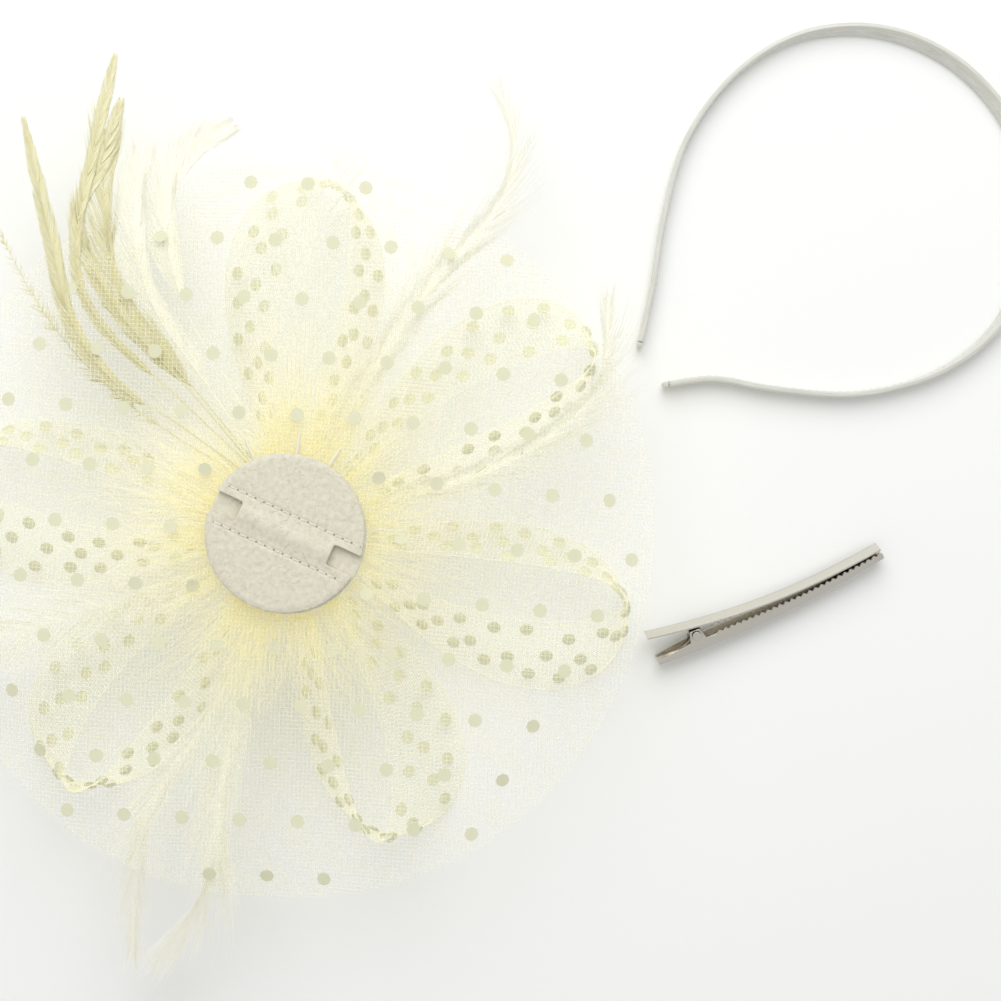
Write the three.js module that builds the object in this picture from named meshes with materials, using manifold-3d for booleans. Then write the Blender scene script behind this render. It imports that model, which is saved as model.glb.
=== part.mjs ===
// Mesh-flower fascinator on a felt pad, lying face down, with the two things it is worn on beside it:
// a satin-covered spring headband standing on its edge, and a toothed alligator hair clip on its side.
// Millimetres, +Z up. The origin is the middle of the felt pad's outer face, which faces up.
import * as THREE from 'three';
import * as BufferGeometryUtils from 'three/addons/utils/BufferGeometryUtils.js';
import Module from 'manifold-3d';

const wasm = await Module();
wasm.setup();

// ---------------------------------------------------------------- driving dimensions

const FLOWER_THICKNESS = 50;          // felt face to the surface that the flower lies on
const TABLE_Z = -FLOWER_THICKNESS;
const GAP = 0.3;                      // clearance kept between pieces that touch

const PAD_RADIUS = 23.3;
const FELT_THICKNESS = 1.6;
const TUNNEL_ANGLE = -25;             // degrees, the way the felt tunnel runs
const TUNNEL_WIDTH = 9.6;
const TUNNEL_HEIGHT = 1.0;
const NOTCH_WIDTH = 6.4;
const NOTCH_DEPTH = 8.6;
const STITCH_ROW_SPACING = 11.4;
const STITCH_PITCH = 2.8;
const STITCH_THREAD = 0.45;

const VEIL_RADIUS = 109;
const VEIL_THICKNESS = 0.5;
const FRINGE_RADIUS = 52;
const CORE_RADIUS = 8;                // the bound middle, where everything is tied

const LOOP_STRIP_WIDTH = 34;          // cut width of the net strip that makes a loop
const LOOP_STRIP_THICKNESS = 0.6;
const LOOP_ROOT_RADIUS = 12;
const LOOP_RIM_HEIGHT = 33;           // the strip's upper rim, above the table, where it stands steepest

const BLADE_THICKNESS = 0.45;         // a feather's envelope, flat
const BLADE_PITCH = 0.75;             // each feather lies on a level of its own

const BAND_WIDTH = 5.4;               // satin outside, measured across the head
const BAND_THICKNESS = 1.9;
const SATIN_THICKNESS = 0.35;
const BAND_LEAN = 0.75;               // how far the standing band leans out at the far side of its ring

const CLIP_LENGTH = 76;
const CLIP_WIDTH = 6.0;
const CLIP_SHEET = 0.55;
const CLIP_TOOTH_PITCH = 2.0;
const CLIP_TOOTH_HEIGHT = 0.8;
const CLIP_PIN_RADIUS = 0.7;
const CLIP_PIN = { x: 14, y: 5.2 };   // pivot, along the clip and above the channel's floor
const CLIP_YAW = 25.5;                // degrees
const CLIP_ROLL = 22;                 // degrees, so its open side tips up
const CLIP_HANDLE = { x: 111.0, y: -39.8 };

// ---------------------------------------------------------------- materials

function finish(color, roughness, metalness = 0) {
  return new THREE.MeshStandardMaterial({ color, roughness, metalness });
}
const wool_felt = finish('#e6e0d4', 0.95);
const polyester_thread = finish('#f4f2ea', 0.6);
const hot_glue = finish('#efe9d2', 0.35);
const dotted_net = finish('#efe9c9', 0.8);
const hackle = finish('#ddd3a0', 0.7);
const marabou = finish('#f6f2dc', 0.9);
const quill_horn = finish('#fbf8ee', 0.3);
const satin = finish('#cfccc2', 0.45);
const spring_steel = finish('#b9bbbd', 0.35, 1);
const nickel_plate = finish('#c9c6be', 0.22, 1);

// ---------------------------------------------------------------- helpers

function degrees(angle) {
  return THREE.MathUtils.degToRad(angle);
}

function smoothstep(from, to, value) {
  return THREE.MathUtils.smoothstep(value, from, to);
}

// The triangles of a geometry with its shared corners merged.
function merged(geometry) {
  const plain = geometry.clone();
  plain.deleteAttribute('normal');
  plain.deleteAttribute('uv');
  return BufferGeometryUtils.mergeVertices(plain, 1e-4);
}

function toManifold(geometry) {
  const solid = merged(geometry);
  return new wasm.Manifold(new wasm.Mesh({
    numProp: 3,
    vertProperties: new Float32Array(solid.attributes.position.array),
    triVerts: new Uint32Array(solid.index.array),
  }));
}

function fromManifold(manifold) {
  const mesh = manifold.getMesh();
  const geometry = new THREE.BufferGeometry();
  geometry.setAttribute('position', new THREE.BufferAttribute(mesh.vertProperties, 3));
  geometry.setIndex(new THREE.BufferAttribute(mesh.triVerts, 1));
  return geometry;
}

function cut(geometry, ...tools) {
  let solid = toManifold(geometry);
  for (const tool of tools) {
    solid = solid.subtract(toManifold(tool));
  }
  return fromManifold(solid);
}

function join(geometry, ...others) {
  let solid = toManifold(geometry);
  for (const other of others) {
    solid = solid.add(toManifold(other));
  }
  return fromManifold(solid);
}

// A unit box, finely divided along its length, with every point sent through place(u, v, w),
// where u and v run 0 to 1 along and across, and w runs -0.5 to 0.5 through the thickness.
function bentBox(along, across, place) {
  const geometry = new THREE.BoxGeometry(1, 1, 1, along, across, 1);
  const position = geometry.attributes.position;
  for (let i = 0; i < position.count; i += 1) {
    const point = place(position.getX(i) + 0.5, position.getY(i) + 0.5, position.getZ(i));
    position.setXYZ(i, point.x, point.y, point.z);
  }
  return geometry;
}

function disc(radius, top, thickness, segments = 64) {
  const geometry = new THREE.CylinderGeometry(radius, radius, thickness, segments);
  geometry.rotateX(Math.PI / 2);
  geometry.translate(0, 0, top - thickness / 2);
  return geometry;
}

function box(width, depth, height, x, y, z) {
  return new THREE.BoxGeometry(width, depth, height).translate(x, y, z);
}

function smoothPath(points, z) {
  return new THREE.CatmullRomCurve3(points.map(([x, y]) => new THREE.Vector3(x, y, z)), false, 'centripetal');
}

const fascinator = new THREE.Group();

function add(parent, name, geometry, material) {
  const mesh = new THREE.Mesh(geometry, material);
  mesh.name = name;
  parent.add(mesh);
  return mesh;
}

// ---------------------------------------------------------------- felt pad and its tunnel

const pad = new THREE.Group();
pad.rotation.z = degrees(TUNNEL_ANGLE);
fascinator.add(pad);

const STRAP_BOTTOM = -FELT_THICKNESS;
const BASE_TOP = STRAP_BOTTOM - GAP;
const BASE_BOTTOM = BASE_TOP - FELT_THICKNESS;
const STITCH_GROOVE = STITCH_THREAD + 2 * GAP;

// The outer felt disc has a notch at each end of the tunnel and one groove for each stitched row.
function feltStrapDisc() {
  const tools = [
    box(2 * PAD_RADIUS, TUNNEL_WIDTH, 2 * TUNNEL_HEIGHT, 0, 0, STRAP_BOTTOM),
  ];
  for (const side of [-1, 1]) {
    const notchX = side * (PAD_RADIUS - NOTCH_DEPTH / 2 + 1);
    tools.push(box(NOTCH_DEPTH + 2, NOTCH_WIDTH, 4 * FELT_THICKNESS, notchX, 0, -FELT_THICKNESS));
    tools.push(box(2 * PAD_RADIUS, STITCH_GROOVE, 2 * STITCH_GROOVE, 0, side * STITCH_ROW_SPACING / 2, 0));
  }
  return cut(disc(PAD_RADIUS, 0, FELT_THICKNESS), ...tools);
}

// A sewn thread: it dips into the felt at every needle hole, and lies on it in between.
function stitchRow(side) {
  const half = Math.sqrt(PAD_RADIUS ** 2 - (STITCH_ROW_SPACING / 2) ** 2) - 3;
  const stitches = Math.round(2 * half / STITCH_PITCH);
  const points = [];
  for (let i = 0; i <= 2 * stitches; i += 1) {
    const depth = i % 2 === 0 ? STITCH_GROOVE - STITCH_THREAD / 2 - 0.1 : STITCH_THREAD / 2 + 0.05;
    points.push([-half + i * half / stitches, -depth]);
  }
  const curve = new THREE.CatmullRomCurve3(
    points.map(([x, z]) => new THREE.Vector3(x, side * STITCH_ROW_SPACING / 2, z)));
  const section = new THREE.Shape().absarc(0, 0, STITCH_THREAD / 2 - 0.05, 0, 2 * Math.PI);
  return new THREE.ExtrudeGeometry(section, {
    extrudePath: curve, steps: 3 * stitches, curveSegments: 3,
  });
}

add(pad, 'felt_strap_disc', feltStrapDisc(), wool_felt);
add(pad, 'stitch_row_upper', stitchRow(1), polyester_thread);
add(pad, 'stitch_row_lower', stitchRow(-1), polyester_thread);
add(pad, 'felt_base_disc', disc(PAD_RADIUS, BASE_TOP, FELT_THICKNESS), wool_felt).position.x = 0.6;

const GLUE_TOP = BASE_BOTTOM - GAP;
const GLUE_THICKNESS = 0.9;
add(pad, 'hot_glue_bed', disc(PAD_RADIUS - 4, GLUE_TOP, GLUE_THICKNESS, 32), hot_glue);

// ---------------------------------------------------------------- veil, fringe and the tied middle

const VEIL_TOP = GLUE_TOP - GLUE_THICKNESS - GAP;
const FRINGE_TOP = VEIL_TOP - VEIL_THICKNESS - GAP;
const FRINGE_THICKNESS = 0.5;
const BLADES_TOP = FRINGE_TOP - FRINGE_THICKNESS - GAP;
const KNOT_HEIGHT = 6;
const KNOT_RADIUS = 13;

function ring(inner, outer, top, thickness, segments) {
  const profile = [
    [inner, top - thickness], [outer, top - thickness], [outer, top], [inner, top], [inner, top - thickness],
  ].map(([r, z]) => new THREE.Vector2(r, z));
  return new THREE.LatheGeometry(profile, segments).rotateX(Math.PI / 2);
}

add(fascinator, 'veil_net', disc(VEIL_RADIUS, VEIL_TOP, VEIL_THICKNESS, 72), dotted_net);
add(fascinator, 'feather_fringe',
  ring(CORE_RADIUS + GAP, FRINGE_RADIUS, FRINGE_TOP, FRINGE_THICKNESS, 48), marabou);

const CORE_TOP = VEIL_TOP - VEIL_THICKNESS - GAP;
const CORE_BOTTOM = TABLE_Z + KNOT_HEIGHT + GAP;
add(fascinator, 'thread_binding',
  disc(CORE_RADIUS, CORE_TOP, CORE_TOP - CORE_BOTTOM, 24), polyester_thread);

// The knotted strip that closes the flower's front, a low dome that lies against the table.
function frontKnot() {
  const dome = [new THREE.Vector2(0, 0)];
  for (let i = 0; i <= 5; i += 1) {
    const angle = degrees(90 * i / 5);
    dome.push(new THREE.Vector2(
      KNOT_RADIUS * (0.72 + 0.28 * Math.sin(angle)), KNOT_HEIGHT * 0.5 * (1 - Math.cos(angle))));
  }
  dome.push(new THREE.Vector2(KNOT_RADIUS * 0.8, KNOT_HEIGHT), new THREE.Vector2(0, KNOT_HEIGHT));
  return new THREE.LatheGeometry(dome, 24).rotateX(Math.PI / 2).translate(0, 0, TABLE_Z);
}
add(fascinator, 'front_centre_knot', frontKnot(), dotted_net);

// ---------------------------------------------------------------- the six net loops

// Each loop is one strip of net that runs out from the middle, turns and comes back. One long side of
// it stands steep and the other lies over, inwards: steepSide is 1 where the steep side is the
// anticlockwise one. The inner rim is the narrower teardrop, shifted towards the steep side.
const LOOPS = [
  { name: 'net_loop_1', direction: 88, length: 108, width: 49, innerWidth: 19, steepSide: -1 },
  { name: 'net_loop_2', direction: 36, length: 109, width: 45, innerWidth: 15, steepSide: -1 },
  { name: 'net_loop_3', direction: -18, length: 106, width: 49, innerWidth: 17, steepSide: 1 },
  { name: 'net_loop_4', direction: -67, length: 99, width: 46, innerWidth: 14, steepSide: -1 },
  { name: 'net_loop_5', direction: -137, length: 104, width: 49, innerWidth: 17, steepSide: 1 },
  { name: 'net_loop_6', direction: 173, length: 106, width: 50, innerWidth: 18, steepSide: -1 },
];
const TEARDROP_PEAK = 0.77;           // the largest value of sin(a) * sin(a / 2)
const LOOP_START = 0.3;               // radians of the teardrop left open at the root

// A point of a teardrop, a running 0 to 2 pi round it from its root.
function teardrop(a, length, width, shift) {
  return new THREE.Vector2(
    LOOP_ROOT_RADIUS + (length - LOOP_ROOT_RADIUS) * (1 - Math.cos(a)) / 2,
    width / 2 * Math.sin(a) * Math.sin(a / 2) / TEARDROP_PEAK + shift * Math.sin(a / 2) ** 4);
}

// The strip's surface: v is 0 on the outer rim, on the table, and 1 on the inner, upper rim.
function loopSurface(loop, u, v) {
  const a = LOOP_START + (2 * Math.PI - 2 * LOOP_START) * u;
  const margin = (loop.width - loop.innerWidth) / 2;
  const outer = teardrop(a, loop.length, loop.width, 0);
  const inner = teardrop(a, loop.length - 4, loop.innerWidth, loop.steepSide * (margin - 5));
  const gathered = 0.3 + 0.7 * smoothstep(0.05, 0.45, Math.sin(a / 2));
  const across = Math.min(outer.distanceTo(inner), 0.93 * LOOP_STRIP_WIDTH);
  const rise = Math.sqrt(LOOP_STRIP_WIDTH ** 2 - across ** 2);
  const flat = new THREE.Vector2().lerpVectors(outer, inner, v * gathered);
  const foot = (1 - gathered) * LOOP_RIM_HEIGHT * 0.6;
  const height = TABLE_Z + foot + Math.min(rise, LOOP_RIM_HEIGHT) * v * gathered;
  const turn = degrees(loop.direction);
  return new THREE.Vector3(
    flat.x * Math.cos(turn) - flat.y * Math.sin(turn),
    flat.x * Math.sin(turn) + flat.y * Math.cos(turn),
    height);
}

function netLoop(loop) {
  const STEP = 1e-3;
  return bentBox(36, 2, (u, v, w) => {
    const point = loopSurface(loop, u, v);
    const alongStep = loopSurface(loop, u + STEP, v).sub(loopSurface(loop, u - STEP, v));
    const acrossStep = loopSurface(loop, u, v + STEP).sub(loopSurface(loop, u, v - STEP));
    const normal = alongStep.cross(acrossStep).normalize();
    point.addScaledVector(normal, w * LOOP_STRIP_THICKNESS);
    point.z = Math.max(point.z, TABLE_Z);
    return point;
  });
}
for (const loop of LOOPS) {
  add(fascinator, loop.name, netLoop(loop), dotted_net);
}

// ---------------------------------------------------------------- feathers

// Each feather is the flat envelope of its vane: a route from its root to its tip, seen from above,
// its greatest width, and where along it that width is (0 root, 1 tip).
const HACKLES = [
  { name: 'hackle_feather_1', width: 6, fullest: 0.55,
    route: [[-7, 14], [-32, 32], [-49, 43], [-62, 60], [-70, 88], [-79, 123]] },
  { name: 'hackle_feather_2', width: 5, fullest: 0.6,
    route: [[-6, 15], [-30, 38], [-55, 62], [-62, 84], [-57, 116], [-52, 142]] },
  { name: 'hackle_feather_3', width: 7, fullest: 0.75,
    route: [[-6, 15], [-27, 40], [-50, 66], [-61, 90], [-55, 110], [-50, 128]] },
  { name: 'hackle_feather_4', width: 14, fullest: 0.85,
    route: [[-5, 15], [-27, 42], [-48, 67], [-54, 92], [-54, 120]] },
  { name: 'hackle_feather_5', width: 11, fullest: 0.7,
    route: [[-4, 16], [-24, 44], [-39, 66], [-45, 88], [-44, 112]] },
  { name: 'hackle_feather_6', width: 10, fullest: 0.72,
    route: [[-3, 16], [-16, 42], [-30, 66], [-36, 92], [-31, 108], [-18, 122]] },
  { name: 'hackle_feather_7', width: 6, fullest: 0.4,
    route: [[-8, 13], [-34, 29], [-54, 44], [-72, 65], [-90, 98]] },
];
const PLUMES = [
  { name: 'marabou_plume_1', width: 17, fullest: 0.4,
    route: [[6, 14], [24, 46], [43, 74], [61, 95], [67, 114], [62, 139]] },
  { name: 'marabou_plume_2', width: 16, fullest: 0.45,
    route: [[14, 7], [46, 14], [74, 26], [92, 44], [95, 74]] },
  { name: 'marabou_plume_3', width: 20, fullest: 0.5,
    route: [[-3, -15], [-12, -44], [-20, -74], [-23, -104], [-40, -134]] },
  { name: 'marabou_plume_4', width: 12, fullest: 0.6,
    route: [[-6, -14], [-22, -52], [-40, -78], [-46, -104], [-47, -133]] },
  { name: 'marabou_plume_5', width: 26, fullest: 0.6,
    route: [[0, 16], [0, 46], [6, 80], [14, 116]] },
  { name: 'marabou_plume_6', width: 24, fullest: 0.5,
    route: [[-14, -6], [-44, -18], [-74, -28], [-100, -36]] },
];

function blade(feather, level) {
  const curve = smoothPath(feather.route, BLADES_TOP - BLADE_THICKNESS / 2 - level * BLADE_PITCH);
  return bentBox(16, 1, (u, v, w) => {
    const point = curve.getPointAt(u);
    const tangent = curve.getTangentAt(u);
    const swell = u < feather.fullest
      ? Math.sin(Math.PI / 2 * u / feather.fullest)
      : Math.cos(Math.PI / 2 * (u - feather.fullest) / (1 - feather.fullest));
    const width = 1 + (feather.width - 1) * Math.max(swell, 0);
    point.x -= tangent.y * width * (v - 0.5);
    point.y += tangent.x * width * (v - 0.5);
    point.z += w * BLADE_THICKNESS;
    return point;
  });
}
HACKLES.forEach((feather, i) => add(fascinator, feather.name, blade(feather, i), hackle));
PLUMES.forEach((feather, i) => add(fascinator, feather.name, blade(feather, HACKLES.length + i), marabou));

// The cut butts of three quills, held between the pad and the veil, show at the pad's rim.
const QUILL_BUTTS = [
  { name: 'quill_butt_1', direction: 113, reach: 29.5 },
  { name: 'quill_butt_2', direction: 82, reach: 29.5 },
  { name: 'quill_butt_3', direction: 57, reach: 29.0 },
];
const QUILL_RADIUS = 0.45;
const QUILL_START = PAD_RADIUS - 2.5;
for (const quill of QUILL_BUTTS) {
  const length = quill.reach - QUILL_START;
  const geometry = new THREE.CylinderGeometry(QUILL_RADIUS, QUILL_RADIUS * 0.8, length, 10);
  geometry.rotateZ(-Math.PI / 2).translate(QUILL_START + length / 2, 0, GLUE_TOP - GLUE_THICKNESS / 2);
  add(fascinator, quill.name, geometry, quill_horn).rotation.z = degrees(quill.direction);
}

// ---------------------------------------------------------------- headband

const BAND_ROUTE = [
  [105.6, 58.1], [109.5, 76.0], [113.0, 97.1], [120.0, 120.5], [134.5, 139.8], [155.0, 151.0],
  [180.2, 151.5], [202.5, 141.0], [218.0, 122.0], [223.0, 98.0], [216.5, 67.5], [199.0, 50.3],
  [174.0, 42.3], [146.0, 43.8], [128.0, 46.8], [114.5, 45.2],
];
const BAND_CENTRE = new THREE.Vector2(165, 97);
const BAND_LEAN_TOWARDS = 30;         // degrees, the side of the ring where the band leans out most
const bandPath = smoothPath(BAND_ROUTE, TABLE_Z + BAND_WIDTH / 2);

function rectangle(width, height) {
  const shape = new THREE.Shape();
  shape.moveTo(-width / 2, -height / 2);
  shape.lineTo(width / 2, -height / 2);
  shape.lineTo(width / 2, height / 2);
  shape.lineTo(-width / 2, height / 2);
  shape.closePath();
  return shape;
}

// The standing band leans outwards: its upper edge moves out, its foot stays on its route.
function leaned(geometry) {
  const position = geometry.attributes.position;
  for (let i = 0; i < position.count; i += 1) {
    const out = new THREE.Vector2(position.getX(i), position.getY(i)).sub(BAND_CENTRE).normalize();
    const turn = Math.cos(out.angle() - degrees(BAND_LEAN_TOWARDS));
    const lean = BAND_LEAN * smoothstep(-0.3, 1, turn) * (position.getZ(i) - TABLE_Z);
    position.setXY(i, position.getX(i) + out.x * lean, position.getY(i) + out.y * lean);
  }
  return geometry;
}

function sweptBand(section) {
  return leaned(new THREE.ExtrudeGeometry(section, { extrudePath: bandPath, steps: 56 }));
}

const satinSection = rectangle(BAND_WIDTH, BAND_THICKNESS);
const satinHollow = rectangle(BAND_WIDTH - 2 * SATIN_THICKNESS, BAND_THICKNESS - 2 * SATIN_THICKNESS);
satinSection.holes.push(satinHollow);
const coreInset = 2 * (SATIN_THICKNESS + GAP);
add(fascinator, 'headband_satin_wrap', sweptBand(satinSection), satin);
add(fascinator, 'headband_spring_core',
  sweptBand(rectangle(BAND_WIDTH - coreInset, BAND_THICKNESS - coreInset)), spring_steel);

// A rounded cap closes each end of the satin.
const BAND_END_LENGTH = 2.2;
[0, 1].forEach((u) => {
  const outwards = bandPath.getTangentAt(u).multiplyScalar(u === 0 ? -1 : 1);
  const middle = bandPath.getPointAt(u).addScaledVector(outwards, GAP + BAND_END_LENGTH / 2);
  const geometry = new THREE.CylinderGeometry(BAND_WIDTH / 2, BAND_WIDTH / 2, BAND_THICKNESS, 20);
  geometry.scale(BAND_END_LENGTH / BAND_WIDTH, 1, 1);
  geometry.rotateZ(Math.atan2(outwards.y, outwards.x)).translate(middle.x, middle.y, middle.z);
  add(fascinator, `headband_end_${u + 1}`, leaned(geometry), satin);
});

// ---------------------------------------------------------------- alligator clip

// In the clip's own frame x runs from the handles to the tip, y is the way it opens and z is its pin.
const clip = new THREE.Group();
fascinator.add(clip);

const HANDLE_OPENING = 9.4;           // between the two handles' ends
const CHANNEL_DEPTH = 3.0;
const CHANNEL_TIP_DEPTH = 1.6;
const TEETH_FROM = 20;
const EAR_HALF = 2.6;

// The whole clip is curved lengthwise to follow the head, by CLIP_SAG at its middle.
const CLIP_SAG = 2.2;
const BEND_SEGMENTS = 13;
function sag(x) {
  const t = x / CLIP_LENGTH;
  return -4 * CLIP_SAG * t * (1 - t);
}
const PIN_HEIGHT = CLIP_PIN.y + sag(CLIP_PIN.x);

function bent(outline) {
  return outline.map(([x, y]) => [x, y + sag(x)]);
}

function lengthwise(from, to, y) {
  return Array.from({ length: BEND_SEGMENTS + 1 }, (_, i) =>
    [THREE.MathUtils.lerp(from, to, i / BEND_SEGMENTS), y]);
}

function extrudeWide(outline, width) {
  const shape = new THREE.Shape(outline.map(([x, y]) => new THREE.Vector2(x, y)));
  return new THREE.ExtrudeGeometry(shape, { depth: width, bevelEnabled: false }).translate(0, 0, -width / 2);
}

function pinHole(width) {
  return new THREE.CylinderGeometry(CLIP_PIN_RADIUS + GAP, CLIP_PIN_RADIUS + GAP, width, 20)
    .rotateX(Math.PI / 2).translate(CLIP_PIN.x, PIN_HEIGHT, 0);
}

// How deep the channel is, from its floor to the root of its teeth.
function channelDepth(x) {
  return THREE.MathUtils.mapLinear(x, TEETH_FROM, CLIP_LENGTH, CHANNEL_DEPTH, CHANNEL_TIP_DEPTH);
}

// The lower jaw: a channel with a toothed rim on both sides, and an ear on each side for the pin.
function lowerJaw() {
  const outline = [...lengthwise(0, CLIP_LENGTH, 0), [CLIP_LENGTH, channelDepth(CLIP_LENGTH)]];
  for (let x = CLIP_LENGTH - CLIP_TOOTH_PITCH / 2; x > TEETH_FROM; x -= CLIP_TOOTH_PITCH) {
    outline.push([x, channelDepth(x) + CLIP_TOOTH_HEIGHT]);
    outline.push([x - CLIP_TOOTH_PITCH / 2, channelDepth(x)]);
  }
  const earTop = CLIP_PIN.y + 1.6;
  outline.push([CLIP_PIN.x + EAR_HALF, CHANNEL_DEPTH], [CLIP_PIN.x + EAR_HALF * 0.6, earTop]);
  outline.push([CLIP_PIN.x - EAR_HALF * 0.6, earTop], [CLIP_PIN.x - EAR_HALF, CHANNEL_DEPTH]);
  outline.push([0, CLIP_SHEET + 0.6]);
  const inside = [...lengthwise(-1, CLIP_LENGTH + 1, CLIP_SHEET), [CLIP_LENGTH + 1, 20], [-1, 20]];
  return cut(extrudeWide(bent(outline), CLIP_WIDTH),
    extrudeWide(bent(inside), CLIP_WIDTH - 2 * CLIP_SHEET), pinHole(2 * CLIP_WIDTH));
}

// The inner face of the upper arm: straight from handle to tip, but bowed towards the teeth.
const ARM_BOW = -1.2;
function armHeight(x) {
  const tipHeight = channelDepth(CLIP_LENGTH) + CLIP_TOOTH_HEIGHT + GAP;
  const slope = THREE.MathUtils.mapLinear(x, 0, CLIP_LENGTH, HANDLE_OPENING, tipHeight);
  return slope + ARM_BOW * Math.sin(Math.PI * x / CLIP_LENGTH);
}

// The upper arm: a bowed blade with two ears that hang inside the lower jaw's ears.
function upperArm() {
  const SEGMENTS = 14;
  const inner = [];
  const outer = [];
  for (let i = 0; i <= SEGMENTS; i += 1) {
    const x = CLIP_LENGTH * i / SEGMENTS;
    inner.push([x, armHeight(x)]);
    outer.unshift([x, armHeight(x) + CLIP_SHEET]);
  }
  const blade = extrudeWide(bent([...inner, ...outer]), CLIP_WIDTH - 0.4);
  const earsWidth = CLIP_WIDTH - 2 * (CLIP_SHEET + GAP);
  const earFoot = CLIP_PIN.y - 1.5;
  const ears = extrudeWide(bent([
    [CLIP_PIN.x - 1.5, earFoot], [CLIP_PIN.x + 1.5, earFoot],
    [CLIP_PIN.x + EAR_HALF, armHeight(CLIP_PIN.x + EAR_HALF) + CLIP_SHEET / 2],
    [CLIP_PIN.x - EAR_HALF, armHeight(CLIP_PIN.x - EAR_HALF) + CLIP_SHEET / 2],
  ]), earsWidth);
  const between = box(4 * EAR_HALF, 12, earsWidth - 2 * CLIP_SHEET,
    CLIP_PIN.x, armHeight(CLIP_PIN.x) + sag(CLIP_PIN.x) - 6.4, 0);
  return join(blade, cut(ears, between, pinHole(2 * CLIP_WIDTH)));
}

const PIN_HEAD = 0.5;
function pivotPin() {
  const half = CLIP_WIDTH / 2 + GAP;
  const profile = [
    [0, -half - PIN_HEAD], [1.3, -half - PIN_HEAD], [1.3, -half], [CLIP_PIN_RADIUS, -half],
    [CLIP_PIN_RADIUS, half], [1.3, half], [1.3, half + PIN_HEAD], [0, half + PIN_HEAD],
  ].map(([r, z]) => new THREE.Vector2(r, z));
  return new THREE.LatheGeometry(profile, 20).rotateX(Math.PI / 2).translate(CLIP_PIN.x, PIN_HEIGHT, 0);
}

// The torsion spring: a coil round the pin, one leg on the lower handle, one short leg by the arm.
const SPRING_WIRE = 0.4;
const SPRING_RADIUS = CLIP_PIN_RADIUS + GAP + SPRING_WIRE / 2 + 0.05;
const SPRING_TURNS = 3;
function springPath() {
  const points = [];
  const perTurn = 10;
  const startAngle = degrees(-120);
  for (let i = 0; i <= SPRING_TURNS * perTurn; i += 1) {
    const angle = startAngle - 2 * Math.PI * i / perTurn;
    const z = THREE.MathUtils.lerp(-0.9, 0.9, i / (SPRING_TURNS * perTurn));
    points.push(new THREE.Vector3(SPRING_RADIUS * Math.cos(angle), SPRING_RADIUS * Math.sin(angle), z));
  }
  points.unshift(new THREE.Vector3(-5.5, -3.6, -0.9), new THREE.Vector3(-3.2, -3.0, -0.9));
  points.push(new THREE.Vector3(-2.4, 0.6, 0.9));
  return new THREE.CatmullRomCurve3(points, false, 'centripetal');
}

function torsionSpring() {
  const section = new THREE.Shape().absarc(0, 0, SPRING_WIRE / 2, 0, 2 * Math.PI);
  return new THREE.ExtrudeGeometry(section, {
    extrudePath: springPath(), steps: 44, curveSegments: 3,
  }).translate(CLIP_PIN.x, PIN_HEIGHT, 0);
}

add(clip, 'clip_lower_jaw', lowerJaw(), nickel_plate);
add(clip, 'clip_upper_arm', upperArm(), nickel_plate);
add(clip, 'clip_pivot_pin', pivotPin(), nickel_plate);
add(clip, 'clip_torsion_spring', torsionSpring(), spring_steel);

// The clip lies rolled over on one edge of its channel, so its lowest point is set on the table.
clip.rotation.set(degrees(CLIP_ROLL), 0, degrees(CLIP_YAW), 'ZYX');
clip.position.set(CLIP_HANDLE.x, CLIP_HANDLE.y, 0);
clip.updateMatrixWorld(true);
clip.position.z = TABLE_Z - new THREE.Box3().setFromObject(clip, true).min.z;

export default fascinator;
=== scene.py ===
# %% [markdown]
# # A dotted-net fascinator, with its headband and its clip
# The set lies on a white table: the flower face down, so that its felt pad faces up, the spring
# headband on its edge and the hair clip on its side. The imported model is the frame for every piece
# here, so each of them is made where its CAD node already lies.

# %% The frame
import math
from functools import partial

import bmesh
import bpy
import numpy as np
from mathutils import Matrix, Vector, noise


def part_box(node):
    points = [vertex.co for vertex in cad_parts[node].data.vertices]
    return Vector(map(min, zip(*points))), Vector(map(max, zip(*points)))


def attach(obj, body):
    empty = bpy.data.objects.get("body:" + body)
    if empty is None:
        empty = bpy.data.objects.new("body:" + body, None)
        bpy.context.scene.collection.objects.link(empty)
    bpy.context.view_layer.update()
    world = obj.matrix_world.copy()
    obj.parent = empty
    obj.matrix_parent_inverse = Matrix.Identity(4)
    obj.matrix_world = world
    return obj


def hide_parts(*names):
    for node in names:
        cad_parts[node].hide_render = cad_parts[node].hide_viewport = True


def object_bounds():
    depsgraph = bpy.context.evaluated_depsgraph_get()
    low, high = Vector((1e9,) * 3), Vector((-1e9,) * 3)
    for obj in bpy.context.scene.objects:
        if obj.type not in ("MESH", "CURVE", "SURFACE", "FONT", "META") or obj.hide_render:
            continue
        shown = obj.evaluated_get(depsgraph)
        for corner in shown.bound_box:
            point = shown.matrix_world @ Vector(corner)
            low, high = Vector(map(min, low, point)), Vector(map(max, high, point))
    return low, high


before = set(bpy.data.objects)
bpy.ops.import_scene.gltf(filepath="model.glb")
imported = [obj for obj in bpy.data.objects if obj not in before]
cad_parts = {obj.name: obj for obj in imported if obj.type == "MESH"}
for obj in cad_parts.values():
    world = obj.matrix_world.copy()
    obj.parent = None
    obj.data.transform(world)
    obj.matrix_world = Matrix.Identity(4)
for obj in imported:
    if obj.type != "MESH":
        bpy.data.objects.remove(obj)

CAD_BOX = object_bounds()
MM = 0.001
TABLE_Z = CAD_BOX[0].z
PAD_LOW, PAD_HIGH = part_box("felt_strap_disc")
PAD_RADIUS = (PAD_HIGH.x - PAD_LOW.x) / 2
VEIL_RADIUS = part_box("veil_net")[1].x
VEIL_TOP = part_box("veil_net")[1].z
print("object box in mm", [[round(v / MM, 1) for v in corner] for corner in CAD_BOX])

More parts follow.
